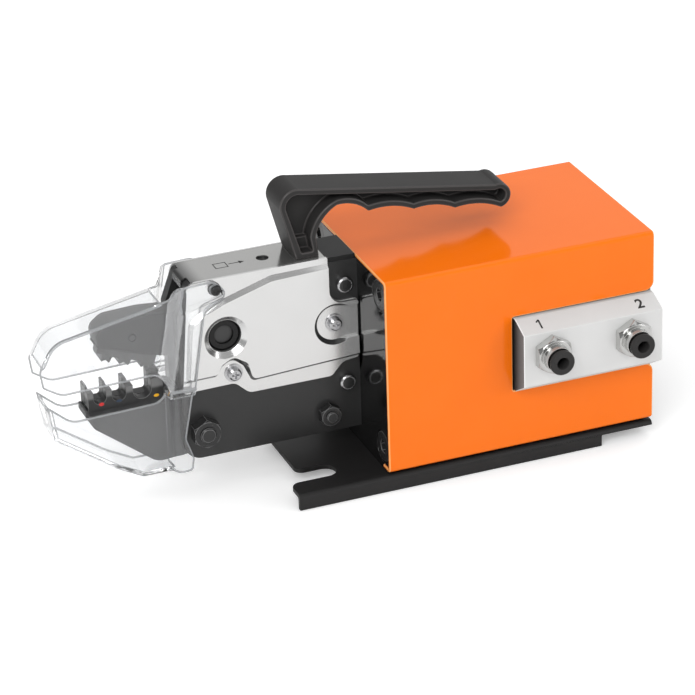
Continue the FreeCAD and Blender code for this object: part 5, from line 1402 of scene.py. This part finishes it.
@dataclass
class Studio:
    """Floor, light and camera.

    Attributes:
        eye: Camera place.
        yaw: Turn of the view from straight across, in degrees.
        pitch: How far the view looks down, in degrees.
        roll: Tilt of the picture, in degrees.
        focal_px: Focal length in pixels of a frame of frame_px.
        frame_px: Width of the picture in pixels.
        sensor: Width of the camera's sensor, in millimetres.
        ambient: Strength of the even light from all round.
        ceiling: Heights of direction at which the studio starts to darken, for gloss, and
            at which it is darkest, and its level there.
        wall: The same for cross directions, for the front side of the studio.
        target: The point that the lamps face.
        lamps: Name, place, width and height, and level of each soft lamp, where the level
            is the light on a white card facing it and 1 renders white.
        floor_size: Length and width of the floor.
        floor_drop: How far it lies below the machine.
        floor_tone: Lightness of the floor.
        floor_roughness: Its roughness.
        floor_lift: Light that the floor adds where it is seen.
    """

    eye: Point = (-0.49138, -1.31618, 0.74970)
    yaw: float = 20.597
    pitch: float = 26.061
    roll: float = 1.947
    focal_px: float = 3267.2
    frame_px: float = 695.0
    sensor: float = 36.0
    ambient: float = 0.6
    ceiling: Tuple[float, float, float] = (0.1, 0.85, 0.3)
    wall: Tuple[float, float, float] = (0.1, -0.35, 0.3)
    target: Point = (0.0, 0.0, 0.06)
    lamps: Tuple[Tuple[str, Point, Range, float], ...] = (
        ("key_box", (-1.1, -1.5, 1.5), (1.4, 1.0), 0.43),
        ("top_box", (0.1, 0.3, 1.9), (2.4, 1.9), 0.24),
        ("side_box", (1.6, -1.2, 0.9), (0.9, 0.9), 0.12),
    )
    floor_size: float = 24.0
    floor_drop: float = 0.0002
    floor_tone: float = 0.92
    floor_roughness: float = 0.9
    floor_lift: float = 0.28

    def camera(self) -> None:
        """Set the camera at the photograph's viewing angle."""
        yaw, pitch, roll = (math.radians(v) for v in (self.yaw, self.pitch, self.roll))
        forward = Vector((math.sin(yaw) * math.cos(pitch), math.cos(yaw) * math.cos(pitch),
                          -math.sin(pitch)))
        right = Vector((math.cos(yaw), -math.sin(yaw), 0.0))
        down = forward.cross(right)
        turned_right = right * math.cos(roll) + down * math.sin(roll)
        turned_down = down * math.cos(roll) - right * math.sin(roll)
        data = bpy.data.cameras.new("studio_camera")
        data.sensor_width = self.sensor
        data.lens = self.focal_px / self.frame_px * self.sensor
        data.clip_end = 50.0
        camera = bpy.data.objects.new("studio_camera", data)
        bpy.context.scene.collection.objects.link(camera)
        place = Matrix((turned_right, -turned_down, -forward)).transposed().to_4x4()
        place.translation = Vector(self.eye)
        camera.matrix_world = place
        bpy.context.scene.camera = camera

    def softbox(self, name: str, place: Point, size: Range, level: float) -> None:
        """Add a soft lamp.

        Args:
            name: Name of the lamp.
            place: Its place.
            size: Its width and height.
            level: Light on a white card facing it, where 1 renders white.
        """
        data = bpy.data.lights.new(name, "AREA")
        data.shape = "RECTANGLE"
        data.size, data.size_y = size
        lamp = bpy.data.objects.new(name, data)
        bpy.context.scene.collection.objects.link(lamp)
        lamp.location = Vector(place)
        toward = Vector(self.target) - Vector(place)
        data.energy = level * math.pi ** 2 * toward.length_squared
        lamp.rotation_euler = toward.to_track_quat("-Z", "Y").to_euler()
        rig.stage(lamp)

    @staticmethod
    def dimmer(tree: bpy.types.NodeTree, source: bpy.types.NodeSocket,
               course: Tuple[float, float, float]) -> bpy.types.NodeSocket:
        """Darken the studio along one direction.

        Args:
            tree: The nodes of the studio's light.
            source: The socket that puts out the direction.
            course: Where it starts to darken, where it is darkest, and its level there.

        Returns:
            The socket that puts out the level.
        """
        start, full, level = course
        ramp = add_node(tree, "MapRange", {"From Min": start, "From Max": full,
                                           "To Min": 1.0, "To Max": level},
                        interpolation_type="SMOOTHSTEP")
        tree.links.new(source, ramp.inputs["Value"])
        return ramp.outputs["Result"]

    def world(self) -> None:
        """Set the even light and the white backdrop that the camera and gloss see."""
        world = bpy.data.worlds.new("studio_world")
        bpy.context.scene.world = world
        world.use_nodes = True
        tree = world.node_tree
        sky = tree.nodes["Background"]
        fill(sky, {"Color": (1.0, 1.0, 1.0, 1.0)})
        rays = add_node(tree, "LightPath")
        place = add_node(tree, "TexCoord")
        parts = add_node(tree, "SeparateXYZ")
        dimmed = add_node(tree, "Math", operation="MULTIPLY")
        gloss = add_node(tree, "Mix", {"A": self.ambient})
        level = add_node(tree, "Mix", {"B": 1.0})
        link = tree.links.new
        link(place.outputs["Generated"], parts.inputs["Vector"])
        link(self.dimmer(tree, parts.outputs["Z"], self.ceiling), dimmed.inputs[0])
        link(self.dimmer(tree, parts.outputs["X"], self.wall), dimmed.inputs[1])
        link(rays.outputs["Is Glossy Ray"], gloss.inputs["Factor"])
        link(dimmed.outputs[0], gloss.inputs["B"])
        link(either_ray(tree, "Is Camera Ray", "Is Transmission Ray"), level.inputs["Factor"])
        link(gloss.outputs["Result"], level.inputs["A"])
        link(level.outputs["Result"], sky.inputs["Strength"])

    def floor(self) -> None:
        """Lay the pale floor, which keeps the machine's shadow."""
        Bench.clear()
        bpy.ops.mesh.primitive_plane_add(size=self.floor_size,
                                         location=(0.0, 0.0, -self.floor_drop))
        floor = bpy.context.object
        floor.name = "studio_floor"
        material = bpy.data.materials.new("floor_paper")
        material.use_nodes = True
        tree = material.node_tree
        shader = tree.nodes["Principled BSDF"]
        tone = self.floor_tone
        fill(shader, {"Base Color": (tone, tone, tone, 1.0), "Roughness": self.floor_roughness,
                      "Specular IOR Level": 0.0, "Emission Color": (1.0, 1.0, 1.0, 1.0)})
        lift = add_node(tree, "Math", {1: self.floor_lift}, operation="MULTIPLY")
        tree.links.new(either_ray(tree, "Is Camera Ray", "Is Transmission Ray"), lift.inputs[0])
        tree.links.new(lift.outputs[0], shader.inputs["Emission Strength"])
        floor.data.materials.append(material)
        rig.stage(floor)

    def build(self) -> None:
        """Set up the studio."""
        self.camera()
        self.world()
        self.floor()
        for name, place, size, level in self.lamps:
            self.softbox(name, place, size, level)
        bpy.context.scene.view_settings.view_transform = "Standard"


def write_size(key: str) -> None:
    """Keep the part's bounds for the record of sizes.

    Args:
        key: Name of the moment, such as loaded or finished.
    """
    try:
        with open("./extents.json", encoding="utf-8") as handle:
            sizes = json.load(handle)
    except (OSError, ValueError):
        sizes = {}
    low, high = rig.bounds()
    sizes[key] = [list(low), list(high)]
    with open("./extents.json", "w", encoding="utf-8") as handle:
        json.dump(sizes, handle)


def main() -> None:
    """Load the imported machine, dress it and set the studio."""
    logging.basicConfig(level=logging.INFO, format="%(name)s: %(message)s")
    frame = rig.load()
    write_size("loaded")
    shop = PaintShop()
    for assembly in (Housing, AirInlets, Head, DieMarks, SideCovers, Grip, ClearGuard):
        assembly(frame, shop).build()
        LOG.info("%s is done", assembly.__name__)
    Studio().build()
    write_size("finished")


if __name__ == "__main__":
    main()
